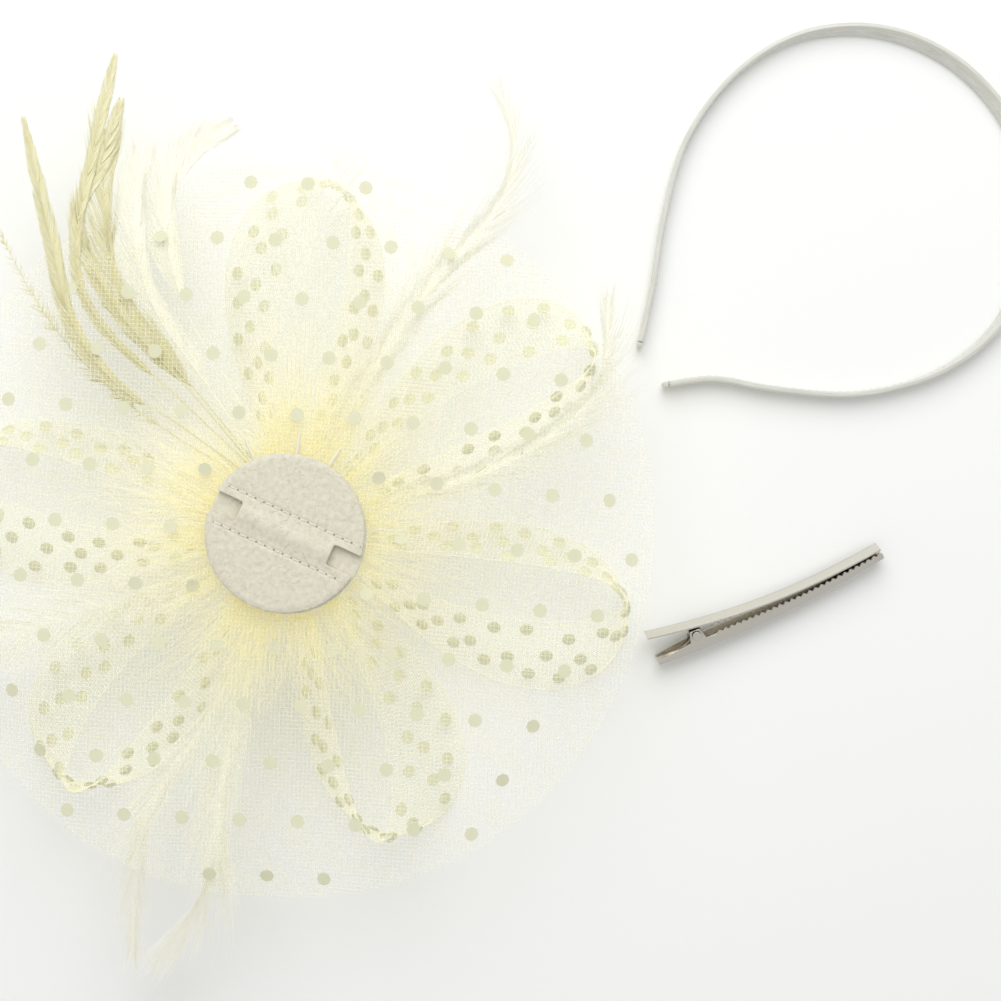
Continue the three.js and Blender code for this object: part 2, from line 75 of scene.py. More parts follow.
# %% [markdown]
# ## View and light
# A product shot from straight above on a bright table. A long lens keeps the perspective gentle, and
# a white world with one large soft lamp gives the high-key light with hardly any shadow. The standard
# view transform keeps the table white, where a filmic one would turn it grey.

# %% Camera, table and light
CAMERA_RISE = 0.9                    # from the table to the lens
FIELD_WIDTH = 0.308                  # of table, from one side of the view to the other
CAMERA_AIM = (0.0628, 0.0095)
SENSOR = 36.0                        # millimetres, a common full frame
WORLD_STRENGTH = 0.60
LAMP_PLACE = (0.02, 0.75, 0.80)
LAMP_AIM = (0.05, 0.10, TABLE_Z)
LAMP_SIZE = 1.2
LAMP_POWER = 8.8


def make_camera():
    """A camera that looks straight down, with +Y towards the top of its view."""
    data = bpy.data.cameras.new("camera")
    data.sensor_width = SENSOR
    data.lens = SENSOR * CAMERA_RISE / FIELD_WIDTH
    camera = bpy.data.objects.new("camera", data)
    camera.location = (*CAMERA_AIM, TABLE_Z + CAMERA_RISE)
    bpy.context.scene.collection.objects.link(camera)
    bpy.context.scene.camera = camera


def srgb(code, alpha=1.0):
    """An sRGB hex colour as the linear colour that a shader takes."""
    channels = [int(code[i:i + 2], 16) / 255 for i in (1, 3, 5)]
    linear = [c / 12.92 if c <= 0.04045 else ((c + 0.055) / 1.055) ** 2.4 for c in channels]
    return (*linear, alpha)


def add_node(tree, kind, inputs=None, **settings):
    """Adds one node. inputs maps a socket's name or number to a value or to the socket that feeds it."""
    node = tree.nodes.new(kind)
    for name, value in settings.items():
        setattr(node, name, value)
    for key, value in (inputs or {}).items():
        if isinstance(value, bpy.types.NodeSocket):
            tree.links.new(value, node.inputs[key])
        else:
            node.inputs[key].default_value = value
    return node


def soft_lamp(name, place, size, power, aim):
    data = bpy.data.lights.new(name, "AREA")
    data.shape = "DISK"
    data.size = size
    data.energy = power
    lamp = bpy.data.objects.new(name, data)
    lamp.location = place
    lamp.rotation_euler = (Vector(aim) - Vector(place)).to_track_quat("-Z", "Y").to_euler()
    bpy.context.scene.collection.objects.link(lamp)


def light_the_table():
    world = bpy.data.worlds.new("white studio")
    world.use_nodes = True
    world.node_tree.nodes["Background"].inputs["Color"].default_value = srgb("#FFFFFF")
    world.node_tree.nodes["Background"].inputs["Strength"].default_value = WORLD_STRENGTH
    bpy.context.scene.world = world
    bpy.context.scene.view_settings.view_transform = "Standard"
    soft_lamp("far_window", LAMP_PLACE, LAMP_SIZE, LAMP_POWER, LAMP_AIM)


make_camera()
light_the_table()

# %% [markdown]
# ## The table
# A plain matt white sheet, a fifth of a millimetre below everything, so that nothing sinks into it.

# %% Table
TABLE_HALF = 3.0
TABLE_GAP = 0.2 * MM


def make_table():
    mesh = bpy.data.meshes.new("table")
    z = TABLE_Z - TABLE_GAP
    corners = [(-1, -1), (1, -1), (1, 1), (-1, 1)]
    mesh.from_pydata([(x * TABLE_HALF, y * TABLE_HALF, z) for x, y in corners], [], [(0, 1, 2, 3)])
    table = bpy.data.objects.new("table", mesh)
    bpy.context.scene.collection.objects.link(table)
    paper = bpy.data.materials.new("white table paper")
    paper.use_nodes = True
    shader = paper.node_tree.nodes["Principled BSDF"]
    shader.inputs["Base Color"].default_value = srgb("#F8F9F7")
    shader.inputs["Roughness"].default_value = 0.9
    mesh.materials.append(paper)


make_table()

# %% [markdown]
# ## Finishes
# Everything on this piece is a shade of ivory, and each shade shows up by how thickly it lies: one layer
# of net hardly tints the white table, and many barbs side by side turn butter yellow. Some of the depth
# comes from the geometry in this way. The fringe and the hackles also have deeper colours of their own.

# %% Finishes
def new_finish(name, color, roughness, **sockets):
    """A material with its one main shader ready, and its uniform values on the shader's sockets."""
    material = bpy.data.materials.new(name)
    material.use_nodes = True
    shader = material.node_tree.nodes["Principled BSDF"]
    shader.inputs["Base Color"].default_value = srgb(color)
    shader.inputs["Roughness"].default_value = roughness
    for socket, value in sockets.items():
        shader.inputs[socket.replace("_", " ")].default_value = value
    return material, material.node_tree, shader


def two_tone(tree, shader, factor, low, high, start=0.0, end=1.0):
    """Colours a shader between two sRGB colours by a factor socket."""
    ramp = add_node(tree, "ShaderNodeValToRGB", {"Fac": factor})
    ramp.color_ramp.elements[0].position = start
    ramp.color_ramp.elements[0].color = srgb(low)
    ramp.color_ramp.elements[1].position = end
    ramp.color_ramp.elements[1].color = srgb(high)
    tree.links.new(ramp.outputs["Color"], shader.inputs["Base Color"])


def place_noise(tree, size, detail=4.0, roughness=0.5):
    """Noise on the piece's own coordinates, with features of about this size in metres."""
    where = add_node(tree, "ShaderNodeTexCoord")
    return add_node(tree, "ShaderNodeTexNoise", {
        "Vector": where.outputs["Object"], "Scale": 1 / size, "Detail": detail, "Roughness": roughness})


def bump(tree, shader, height, distance, strength=1.0):
    node = add_node(tree, "ShaderNodeBump", {"Height": height, "Distance": distance, "Strength": strength})
    tree.links.new(node.outputs["Normal"], shader.inputs["Normal"])


def strand_finish(name, root, tip, roughness, **sockets):
    """Fibre coloured along its length by the tone that its strands carry."""
    material, tree, shader = new_finish(name, root, roughness, **sockets)
    tone = add_node(tree, "ShaderNodeAttribute", attribute_name="tone")
    two_tone(tree, shader, tone.outputs["Fac"], root, tip)
    return material


# Fibres this thin let light through. A glow of their own colour stands in for that light, and it is
# set for this bright table: in a darker scene it would have to be lowered.
def glow(finish, color, strength):
    shader = finish.node_tree.nodes["Principled BSDF"]
    shader.inputs["Emission Color"].default_value = srgb(color)
    shader.inputs["Emission Strength"].default_value = strength
    return finish


# Net: drawn nylon monofilament, knitted and dyed, so a thread is smooth, clear and softly shiny.
NET = strand_finish("ivory nylon net", "#F4F0D0", "#FAF8E6", 0.45, Specular_IOR_Level=0.3, Alpha=0.34)
glow(NET, "#FAF6DA", 0.26)
# Flock dots: short fibre glued on in a disc, so they are matt and thicker than the net.
DOTS = strand_finish("flocked dot", "#E2E2C6", "#EBEAD3", 0.95, Specular_IOR_Level=0.1, Alpha=0.8)
glow(DOTS, "#EBEAD0", 0.06)
# Cock hackle: barbs hooked into a smooth blade, which gives it a silky sheen along the barbs.
HACKLE = strand_finish("dyed cock hackle", "#D6CF9C", "#EFECCC", 0.5, Specular_IOR_Level=0.4)
glow(HACKLE, "#E4DEB0", 0.07)
PALE_HACKLE = strand_finish("pale cock hackle", "#F3F1DC", "#F9F8EC", 0.5, Specular_IOR_Level=0.35)
glow(PALE_HACKLE, "#F8F7E8", 0.12)
# Marabou: loose down that scatters light through itself, so it has no shine.
MARABOU = strand_finish("ivory marabou", "#F5F3DE", "#FAFAF3", 0.85, Specular_IOR_Level=0.1)
glow(MARABOU, "#F8F7EC", 0.12)
FRINGE = strand_finish("ivory down fringe", "#F8F2C6", "#FBF8E2", 0.85, Specular_IOR_Level=0.1)
glow(FRINGE, "#F9F1C4", 0.18)
QUILL = strand_finish("feather quill", "#EAE5CC", "#F1EDDA", 0.25, Coat_Weight=0.3)
THREAD = strand_finish("polyester sewing thread", "#F0EEE2", "#FAF9F2", 0.5, Sheen_Weight=0.2)

# %% [markdown]
# ## One tree for everything that is a strand
# Net, feathers, down, felt fuzz and thread are all strands: a route with a thickness. Each piece below
# works out the routes by its own rule, and this one Geometry Nodes tree sweeps a small round section
# along them, in place of thousands of curves.

# %% Strand tree
def strand_tree():
    tree = bpy.data.node_groups.new("swept strands", "GeometryNodeTree")
    tree.interface.new_socket("Geometry", in_out="INPUT", socket_type="NodeSocketGeometry")
    sides = tree.interface.new_socket("Sides", in_out="INPUT", socket_type="NodeSocketInt")
    sides.default_value = 3
    tree.interface.new_socket("Finish", in_out="INPUT", socket_type="NodeSocketMaterial")
    tree.interface.new_socket("Geometry", in_out="OUTPUT", socket_type="NodeSocketGeometry")
    start = add_node(tree, "NodeGroupInput")
    routes = add_node(tree, "GeometryNodeMeshToCurve", {"Mesh": start.outputs["Geometry"]})
    thickness = add_node(tree, "GeometryNodeInputNamedAttribute", {"Name": "half_thickness"},
                         data_type="FLOAT")
    section = add_node(tree, "GeometryNodeCurvePrimitiveCircle", {
        "Resolution": start.outputs["Sides"], "Radius": 1.0})
    swept = add_node(tree, "GeometryNodeCurveToMesh", {
        "Curve": routes.outputs["Curve"], "Profile Curve": section.outputs["Curve"],
        "Scale": thickness.outputs["Attribute"]})
    real = add_node(tree, "GeometryNodeRealizeInstances", {"Geometry": swept.outputs["Mesh"]})
    finished = add_node(tree, "GeometryNodeSetMaterial", {
        "Geometry": real.outputs["Geometry"], "Material": start.outputs["Finish"]})
    add_node(tree, "NodeGroupOutput", {"Geometry": finished.outputs["Geometry"]})
    return tree


STRANDS = strand_tree()


def socket_id(tree, name):
    """The identifier of a tree's named input, which is how a modifier stores it."""
    return next(s.identifier for s in tree.interface.items_tree
                if s.item_type == "SOCKET" and s.in_out == "INPUT" and s.name == name)


def evaluated(source, name, tree, inputs):
    """Runs a Geometry Nodes tree on an object and keeps the result as a plain mesh object."""
    modifier = source.modifiers.new("nodes", "NODES")
    modifier.node_group = tree
    for key, value in inputs.items():
        modifier[socket_id(tree, key)] = value
    graph = bpy.context.evaluated_depsgraph_get()
    mesh = bpy.data.meshes.new_from_object(source.evaluated_get(graph), depsgraph=graph)
    mesh.name = name
    piece = bpy.data.objects.new(name, mesh)
    bpy.context.scene.collection.objects.link(piece)
    source.modifiers.remove(modifier)
    bpy.data.objects.remove(source)
    return piece


def strands(name, routes, half_thickness, finish, tone=None, sides=3):
    """Sweeps a list of routes, each an array of points, with a thickness and a tone at every point."""
    points = np.concatenate(routes)
    lengths = np.array([len(route) for route in routes])
    starts = np.concatenate([[0], np.cumsum(lengths)[:-1]])
    first = np.ones(len(points), bool)
    first[starts + lengths - 1] = False
    heads = np.flatnonzero(first)
    mesh = bpy.data.meshes.new(name + "_routes")
    mesh.vertices.add(len(points))
    mesh.vertices.foreach_set("co", points.astype(np.float32).ravel())
    mesh.edges.add(len(heads))
    mesh.edges.foreach_set("vertices", np.stack([heads, heads + 1], 1).astype(np.int32).ravel())
    for key, value in (("half_thickness", half_thickness), ("tone", 0.5 if tone is None else tone)):
        layer = mesh.attributes.new(key, "FLOAT", "POINT")
        filled = np.concatenate(value) if isinstance(value, list) else np.full(len(points), value)
        layer.data.foreach_set("value", filled.astype(np.float32))
    source = bpy.data.objects.new(name + "_routes", mesh)
    bpy.context.scene.collection.objects.link(source)
    piece = evaluated(source, name, STRANDS, {"Sides": sides, "Finish": finish})
    print(name, "strands", len(routes), "faces", len(piece.data.polygons))
    return piece


def merge(name, *pieces):
    """Joins pieces into the first one and names it."""
    with bpy.context.temp_override(active_object=pieces[0], object=pieces[0],
                                   selected_editable_objects=list(pieces)):
        bpy.ops.object.join()
    pieces[0].name = name
    pieces[0].data.name = name
    return pieces[0]


def settle(piece, body, slot, *nodes):
    """Ties a finished piece to its body and hides the CAD nodes that it stands for. The slot is not used.
    """
    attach(piece, body)
    if nodes:
        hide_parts(*nodes)
    return piece


# %% [markdown]
# ## The dots
# A dot is a thin eight-sided disc of flock, set in staggered rows. Each dot is an instance turned to the
# direction that its point carries. On the veil that is the way the net faces, and on the loops it is
# part of the way from there to straight up.

# %% Dot tree
DOT_RADIUS = 2.1 * MM
DOT_THICKNESS = 0.16 * MM
DOT_CLEARANCE = 0.12 * MM            # from the middle of the net to the middle of a dot
DOT_TIP = 0.42                       # how far a dot on a loop is tipped from the net towards up


def dot_tree():
    tree = bpy.data.node_groups.new("flocked dots", "GeometryNodeTree")
    tree.interface.new_socket("Geometry", in_out="INPUT", socket_type="NodeSocketGeometry")
    tree.interface.new_socket("Radius", in_out="INPUT", socket_type="NodeSocketFloat")
    tree.interface.new_socket("Thickness", in_out="INPUT", socket_type="NodeSocketFloat")
    tree.interface.new_socket("Finish", in_out="INPUT", socket_type="NodeSocketMaterial")
    tree.interface.new_socket("Geometry", in_out="OUTPUT", socket_type="NodeSocketGeometry")
    start = add_node(tree, "NodeGroupInput")
    facing = add_node(tree, "GeometryNodeInputNamedAttribute", {"Name": "facing"},
                      data_type="FLOAT_VECTOR")
    turned = add_node(tree, "FunctionNodeAlignRotationToVector", {
        "Vector": facing.outputs["Attribute"]}, axis="Z")
    disc = add_node(tree, "GeometryNodeMeshCylinder", {
        "Vertices": 8, "Radius": start.outputs["Radius"], "Depth": start.outputs["Thickness"]})
    placed = add_node(tree, "GeometryNodeInstanceOnPoints", {
        "Points": start.outputs["Geometry"], "Instance": disc.outputs["Mesh"],
        "Rotation": turned.outputs["Rotation"]})
    real = add_node(tree, "GeometryNodeRealizeInstances", {"Geometry": placed.outputs["Instances"]})
    finished = add_node(tree, "GeometryNodeSetMaterial", {
        "Geometry": real.outputs["Geometry"], "Material": start.outputs["Finish"]})
    add_node(tree, "NodeGroupOutput", {"Geometry": finished.outputs["Geometry"]})
    return tree


DOT_TREE = dot_tree()


def dots(name, points, normals):
    mesh = bpy.data.meshes.new(name + "_points")
    mesh.from_pydata([tuple(p) for p in points], [], [])
    layer = mesh.attributes.new("facing", "FLOAT_VECTOR", "POINT")
    layer.data.foreach_set("vector", np.asarray(normals, np.float32).ravel())
    source = bpy.data.objects.new(name + "_points", mesh)
    bpy.context.scene.collection.objects.link(source)
    return evaluated(source, name, DOT_TREE, {
        "Radius": DOT_RADIUS, "Thickness": DOT_THICKNESS, "Finish": DOTS})


# %% [markdown]
# ## The veil
# A round of square net, 217 mm across. Its threads are drawn 0.17 mm thick, which is probably coarser
# than real ones, so that the mesh keeps enough surface for the size that the sheet is said to have. The
# finish is mostly clear to make up for it. The surface lies on the feathers, ripples where it is
# gathered under the pad, and drops softly past the loops that hold it up.

# %% Veil
NET_PITCH = 1.2 * MM
NET_HALF_THREAD = 0.085 * MM
VEIL_STEP = 3.6 * MM                 # between the points of one thread, short beside every ripple
VEIL_TURN = math.radians(-4)
VEIL_DOT_SPACING = 17.0 * MM
PLEATS = 34                          # gathered round the pad
PLEAT_HEIGHT = 0.55 * MM
RIPPLE_HEIGHT = 0.9 * MM
EDGE_DROP = 9.0 * MM
EDGE_LOBES = 7
VEIL_SLOPE = 2.0 * MM                # from the middle to the rim, without the drop


def soft_step(low, high, value):
    t = np.clip((value - low) / (high - low), 0, 1)
    return t * t * (3 - 2 * t)


def veil_height(x, y):
    """The veil's surface over the flower."""
    radius = np.hypot(x, y)
    angle = np.arctan2(y, x)
    leaves_pad = soft_step(PAD_RADIUS, PAD_RADIUS + 6 * MM, radius)
    gathered = leaves_pad * (1 - soft_step(30 * MM, 62 * MM, radius))
    pleats = PLEAT_HEIGHT * gathered * np.sin(PLEATS * angle + 2 * np.sin(5 * angle))
    waves = RIPPLE_HEIGHT * np.sin(x / (13 * MM) + 1.3) * np.sin(y / (17 * MM))
    ripple = waves * soft_step(0.02, 0.05, radius)
    lobes = 0.62 + 0.38 * np.sin(EDGE_LOBES * angle + 0.6)
    drop = EDGE_DROP * lobes * soft_step(0.80 * VEIL_RADIUS, VEIL_RADIUS, radius)
    slope = VEIL_SLOPE * soft_step(0.2 * VEIL_RADIUS, VEIL_RADIUS, radius)
    return VEIL_TOP - 0.25 * MM + pleats - np.abs(ripple) - drop - slope


def veil_point(s, t):
    """A point of the flat net, s and t along its threads, moved to where it lies."""
    x = s * math.cos(VEIL_TURN) - t * math.sin(VEIL_TURN)
    y = s * math.sin(VEIL_TURN) + t * math.cos(VEIL_TURN)
    x = x + 0.9 * MM * np.sin(y / (21 * MM))
    y = y + 0.9 * MM * np.sin(x / (25 * MM) + 0.8)
    return np.stack([x, y, veil_height(x, y)], -1)


def surface_normal(surface, a, b, step=0.2 * MM):
    along_a = surface(a + step, b) - surface(a - step, b)
    along_b = surface(a, b + step) - surface(a, b - step)
    normal = np.cross(along_a, along_b)
    return normal / np.linalg.norm(normal, axis=-1, keepdims=True)


def round_net(radius):
    """The threads of a round piece of net, as routes: one set along s and one along t."""
    routes = []
    rows = int(radius / NET_PITCH)
    for i in range(-rows, rows + 1):
        level = i * NET_PITCH
        half = math.sqrt(radius ** 2 - level ** 2)
        run = np.linspace(-half, half, max(2, int(2 * half / VEIL_STEP)))
        routes.append(veil_point(run, np.full_like(run, level)))
        routes.append(veil_point(np.full_like(run, level), run))
    return routes


def make_veil():
    radius = VEIL_RADIUS - 0.6 * MM
    routes = round_net(radius)
    rng = np.random.default_rng(3)
    tone = [np.full(len(route), rng.uniform(0.2, 1.0)) for route in routes]
    net = strands("veil_threads", routes, NET_HALF_THREAD, NET, tone)
    spacing = VEIL_DOT_SPACING
    rows = int(radius / spacing) + 1
    places = [(i * spacing + (j % 2) * spacing / 2, j * spacing)
              for i in range(-rows, rows + 1) for j in range(-rows, rows + 1)]
    places = np.array([p for p in places if 0.2 * radius < math.hypot(*p) < radius - 2 * MM])
    lifted = veil_point(places[:, 0], places[:, 1]) + np.array([0, 0, DOT_CLEARANCE])
    flock = dots("veil_dots", lifted, surface_normal(veil_point, places[:, 0], places[:, 1]))
    veil = settle(merge("veil", net, flock), "flower", "dotted_net", "veil_net")


make_veil()

# %% [markdown]
# ## The loops
# Each loop is one strip of the same net. Its foot follows one teardrop on the table and its top edge a
# narrower one, shifted to one side, so that the strip stands steep on that side and lies over on the
# other. Where it stands steep its threads close up, and that side reads as an ivory band.

# %% Loops
LOOPS = [
    dict(direction=88, length=108, width=49, inner_width=19, steep_side=-1),
    dict(direction=36, length=109, width=45, inner_width=15, steep_side=-1),
    dict(direction=-18, length=106, width=49, inner_width=17, steep_side=1),
    dict(direction=-67, length=99, width=46, inner_width=14, steep_side=-1),
    dict(direction=-137, length=104, width=49, inner_width=17, steep_side=1),
    dict(direction=173, length=106, width=50, inner_width=18, steep_side=-1),
]
STRIP_WIDTH = 34 * MM
LOOP_ROOT = 12 * MM
LOOP_RIM_HEIGHT = 33 * MM
TEARDROP_PEAK = 0.77
LOOP_START = 0.3                     # the angle left out at each end of a teardrop, at its root
RIM_THREAD = 1.7                     # how much thicker the threads along a strip's edges are
LOOP_DOT_SPACING = 11.0 * MM


def teardrop(angle, length, width, shift):
    along = LOOP_ROOT + (length - LOOP_ROOT) * (1 - np.cos(angle)) / 2
    bulge = width / 2 * np.sin(angle) * np.sin(angle / 2) / TEARDROP_PEAK
    across = bulge + shift * np.sin(angle / 2) ** 4
    return along, across


def loop_point(loop, u, v):
    """A point of a loop's strip: u runs 0 to 1 along it and v 0 to 1 from its foot to its top edge."""
    angle = LOOP_START + (2 * math.pi - 2 * LOOP_START) * u
    length, width, inner_width = (loop[key] * MM for key in ("length", "width", "inner_width"))
    shift = loop["steep_side"] * ((width - inner_width) / 2 - 5 * MM)
    foot_x, foot_y = teardrop(angle, length, width, 0)
    top_x, top_y = teardrop(angle, length - 4 * MM, inner_width, shift)
    open_out = 0.3 + 0.7 * soft_step(0.05, 0.45, np.sin(angle / 2))
    across = np.minimum(np.hypot(foot_x - top_x, foot_y - top_y), 0.93 * STRIP_WIDTH)
    rise = np.minimum(np.sqrt(STRIP_WIDTH ** 2 - across ** 2), LOOP_RIM_HEIGHT)
    x = foot_x + (top_x - foot_x) * v * open_out
    y = foot_y + (top_y - foot_y) * v * open_out
    z = TABLE_Z + (1 - open_out) * LOOP_RIM_HEIGHT * 0.6 + rise * v * open_out + 0.3 * MM
    turn = math.radians(loop["direction"])
    c, s = math.cos(turn), math.sin(turn)
    return np.stack([x * c - y * s, x * s + y * c, z], -1)


def even_run(loop, count):
    """Places along a loop's strip that lie evenly by length, measured on its middle."""
    u = np.linspace(0, 1, 800)
    middle = loop_point(loop, u, np.full_like(u, 0.5))
    walked = np.concatenate([[0], np.cumsum(np.linalg.norm(np.diff(middle, axis=0), axis=1))])
    return np.interp(np.linspace(0, walked[-1], count), walked, u), walked[-1]


def make_loop(index, loop):
    length = even_run(loop, 2)[1]
    along, _ = even_run(loop, int(length / (2 * NET_PITCH)))
    weft, _ = even_run(loop, int(length / NET_PITCH))
    rows = int(STRIP_WIDTH / NET_PITCH)
    routes = [loop_point(loop, along, np.full_like(along, j / rows)) for j in range(rows + 1)]
    half = [np.full(len(route), NET_HALF_THREAD * (RIM_THREAD if j in (0, rows) else 1.0))
            for j, route in enumerate(routes)]
    across = np.linspace(0, 1, 9)
    for u in weft:
        routes.append(loop_point(loop, np.full_like(across, u), across))
        half.append(np.full(len(across), NET_HALF_THREAD))
    rng = np.random.default_rng(20 + index)
    tone = [np.full(len(route), rng.uniform(0.1, 1.0)) for route in routes]
    net = strands(f"loop_{index}_threads", routes, half, NET, tone)
    columns = int(length / LOOP_DOT_SPACING)
    levels = int(STRIP_WIDTH / LOOP_DOT_SPACING)
    spots, _ = even_run(loop, 2 * columns + 1)
    places = [(spots[2 * i + j % 2], (j + 0.5) / levels)
              for i in range(1, columns - 1) for j in range(levels)]
    u, v = np.array(places).T
    u = u + rng.normal(0, 0.004, len(u))
    v = 0.5 + 0.84 * (v - 0.5) + rng.normal(0, 0.05, len(v))
    normal = surface_normal(partial(loop_point, loop), u, v, 1e-3)
    middle = loop_point(loop, u, v) + normal * DOT_CLEARANCE
    # Real dots lie flat on the strip. These are tipped part of the way up, to read as dots from above.
    facing = (1 - DOT_TIP) * normal + DOT_TIP * np.where(normal[:, 2:] < 0, -1, 1) * [0, 0, 1]
    facing /= np.linalg.norm(facing, axis=1, keepdims=True)
    flock = dots(f"loop_{index}_dots", middle, facing)
    piece = settle(merge(f"loop_{index}", net, flock), "flower", "dotted_net", f"net_loop_{index}")


for number, loop in enumerate(LOOPS, 1):
    make_loop(number, loop)

# %% [markdown]
# ## A feather
# A feather is a quill with two rows of barbs. Each barb leaves the quill at an angle and bends forward,
# and its length follows the vane's outline. Neighbouring barbs lean together in locks, which is what
# splits a vane and gives it a ragged edge. A hackle has short, stiff, close barbs. Marabou has long,
# fine, loose ones that trail along the quill.

# %% Feather routes
def smooth_route(controls, count):
    """A smooth curve through a few points, as evenly spaced ones, and its length."""
    p = np.asarray(controls, float)
    p = np.vstack([2 * p[0] - p[1], p, 2 * p[-1] - p[-2]])
    t = np.linspace(0, 1, 24, endpoint=False)[:, None]
    arcs = [0.5 * (2 * b + (c - a) * t + (2 * a - 5 * b + 4 * c - d) * t ** 2
                   + (3 * b - a - 3 * c + d) * t ** 3)
            for a, b, c, d in zip(p[:-3], p[1:-2], p[2:-1], p[3:])]
    path = np.vstack(arcs + [p[-2:-1]])
    walked = np.concatenate([[0], np.cumsum(np.linalg.norm(np.diff(path, axis=0), axis=1))])
    even = np.linspace(0, walked[-1], count)
    return np.stack([np.interp(even, walked, path[:, k]) for k in range(3)], 1), walked[-1]


def at(values, t):
    """Values sampled evenly over 0 to 1, read at the places t."""
    places = np.linspace(0, 1, len(values))
    return np.stack([np.interp(t, places, values[:, k]) for k in range(values.shape[1])], -1)


def feather_route(node, controls):
    """A feather's quill: its route from above, at its node's height, sagging past the veil's edge."""
    low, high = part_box(node)
    flat = [(x * MM, y * MM, 0) for x, y in controls]
    route, length = smooth_route(flat, 60)
    radius = np.hypot(route[:, 0], route[:, 1])
    sag = 0.30 * np.maximum(radius - 0.095, 0) ** 1.1
    route[:, 2] = (low.z + high.z) / 2 - 1.0 * MM - sag
    return route, length


def barbs(route, side, spec, rng):
    """One row of barbs as routes, with each one's half thickness and tone along it."""
    count = spec["count"]
    t = np.sort(rng.uniform(spec["start"], 1.0, count))
    root = at(route, t)
    ahead = np.gradient(route, axis=0)
    ahead /= np.linalg.norm(ahead, axis=1, keepdims=True)
    forward = at(ahead, t)
    left = np.cross([0, 0, 1], forward)
    left /= np.linalg.norm(left, axis=1, keepdims=True)
    locks = np.interp(t, np.linspace(0, 1, spec["locks"]), rng.normal(0, 1, spec["locks"]))
    swell = np.where(t < spec["fullest"], np.sin(np.pi / 2 * t / spec["fullest"]),
                     np.cos(np.pi / 2 * (t - spec["fullest"]) / (1 - spec["fullest"] + 1e-6)))
    swell = np.maximum(swell, 0) ** spec["fullness"]
    scatter = spec["scatter"] * rng.normal(0, 1, count)
    open_angle = np.radians(spec["open"] + spec["spread"] * locks + scatter)
    end_angle = np.radians(spec["close"] + 0.6 * spec["spread"] * locks)
    mean_angle = np.radians((spec["open"] + spec["close"]) / 2)
    reach = spec["half_width"] * (0.12 + 0.88 * swell) / np.sin(mean_angle)
    reach *= rng.uniform(1 - spec["ragged"], 1.0, count)
    steps = np.linspace(0, 1, spec["points"])
    angle = open_angle[:, None] * (1 - steps) + end_angle[:, None] * steps
    curl = spec["curl"] * rng.normal(0, 1, (count, 1)) * steps ** 2
    angle = angle + curl
    step = reach[:, None] / (spec["points"] - 1)
    run = np.cumsum(np.cos(angle) * step, 1) - np.cos(angle[:, :1]) * step
    out = side * (np.cumsum(np.sin(angle) * step, 1) - np.sin(angle[:, :1]) * step)
    points = root[:, None] + run[..., None] * forward[:, None] + out[..., None] * left[:, None]
    points[..., 2] -= np.abs(out) * spec["cup"]
    points[..., 2] += spec["loft"] * rng.normal(0, 1, (count, 1)) * steps ** 1.5
    thick = spec["half_barb"] * (1 - 0.8 * steps ** 2) * rng.uniform(0.7, 1.1, (count, 1))
    tone = np.clip(0.15 + 0.55 * steps + 0.30 * t[:, None] + 0.12 * locks[:, None]
                   + 0.10 * rng.normal(0, 1, (count, 1)), 0, 1)
    return list(points), list(thick), list(tone)


def make_feather(node, controls, spec, finish, seed, slot):
    rng = np.random.default_rng(seed)
    route, length = feather_route(node, controls)
    spec = dict(spec, count=int(length / spec["pitch"]))
    routes = [route]
    thick = [spec["half_quill"] * (1 - 0.85 * np.linspace(0, 1, len(route)))]
    tone = [np.full(len(route), 0.35)]
    for side in (-1, 1):
        more = barbs(route, side, spec, rng)
        for kept, new in zip((routes, thick, tone), more):
            kept.extend(new)
    piece = strands(node.replace("_feather", "") + "_vane", routes, thick, finish, tone)
    return settle(piece, "flower", slot, node)


# %% [markdown]
# ## The hackles
# Seven dyed cock feathers stand out past the flower on one side. The first three are narrow and almost
# closed, and the next two are broad and blunt. The fifth and the sixth are paler, and the sixth is a leaf
# shape on a bare stem. The last is little more than a stem with short, loose barbs.

# %% Hackles
def hackle_spec(width, fullest, **changes):
    spec = dict(pitch=0.26 * MM, start=0.30, locks=40, fullest=fullest, fullness=0.7, open=24, close=7,
                spread=1.6, scatter=1.0, half_width=width / 2 * MM, ragged=0.22, points=7, curl=0.03,
                cup=0.10, loft=0.12 * MM, half_barb=0.135 * MM, half_quill=0.36 * MM)
    spec.update(changes)
    return spec


HACKLES = [
    ([(-7, 14), (-32, 32), (-49, 43), (-62, 60), (-70, 88), (-79, 123)], hackle_spec(6, 0.62), HACKLE),
    ([(-6, 15), (-30, 38), (-55, 62), (-62, 84), (-57, 116), (-52, 142)], hackle_spec(4.6, 0.84), HACKLE),
    ([(-6, 15), (-27, 40), (-50, 66), (-61, 90), (-55, 110), (-50, 128)], hackle_spec(6, 0.8), HACKLE),
    ([(-5, 15), (-27, 42), (-48, 67), (-54, 92), (-54, 118)],
     hackle_spec(12, 0.88, fullness=0.45, spread=3.5, ragged=0.45, pitch=0.34 * MM), HACKLE),
    ([(-4, 16), (-24, 44), (-39, 66), (-45, 88), (-44, 110)],
     hackle_spec(12, 0.8, fullness=0.6, spread=2.5, half_barb=0.09 * MM), PALE_HACKLE),
    ([(-3, 16), (-16, 42), (-30, 66), (-36, 92), (-31, 108), (-18, 120)],
     hackle_spec(11, 0.72, start=0.5, half_barb=0.10 * MM), PALE_HACKLE),
    ([(-8, 13), (-34, 29), (-54, 44), (-72, 65), (-90, 96)],
     hackle_spec(7, 0.5, open=46, close=30, spread=9, ragged=0.6, pitch=0.7 * MM, half_barb=0.10 * MM),
     HACKLE),
]
for number, (controls, spec, finish) in enumerate(HACKLES, 1):
    make_feather(f"hackle_feather_{number}", controls, spec, finish, 100 + number, "hackle")

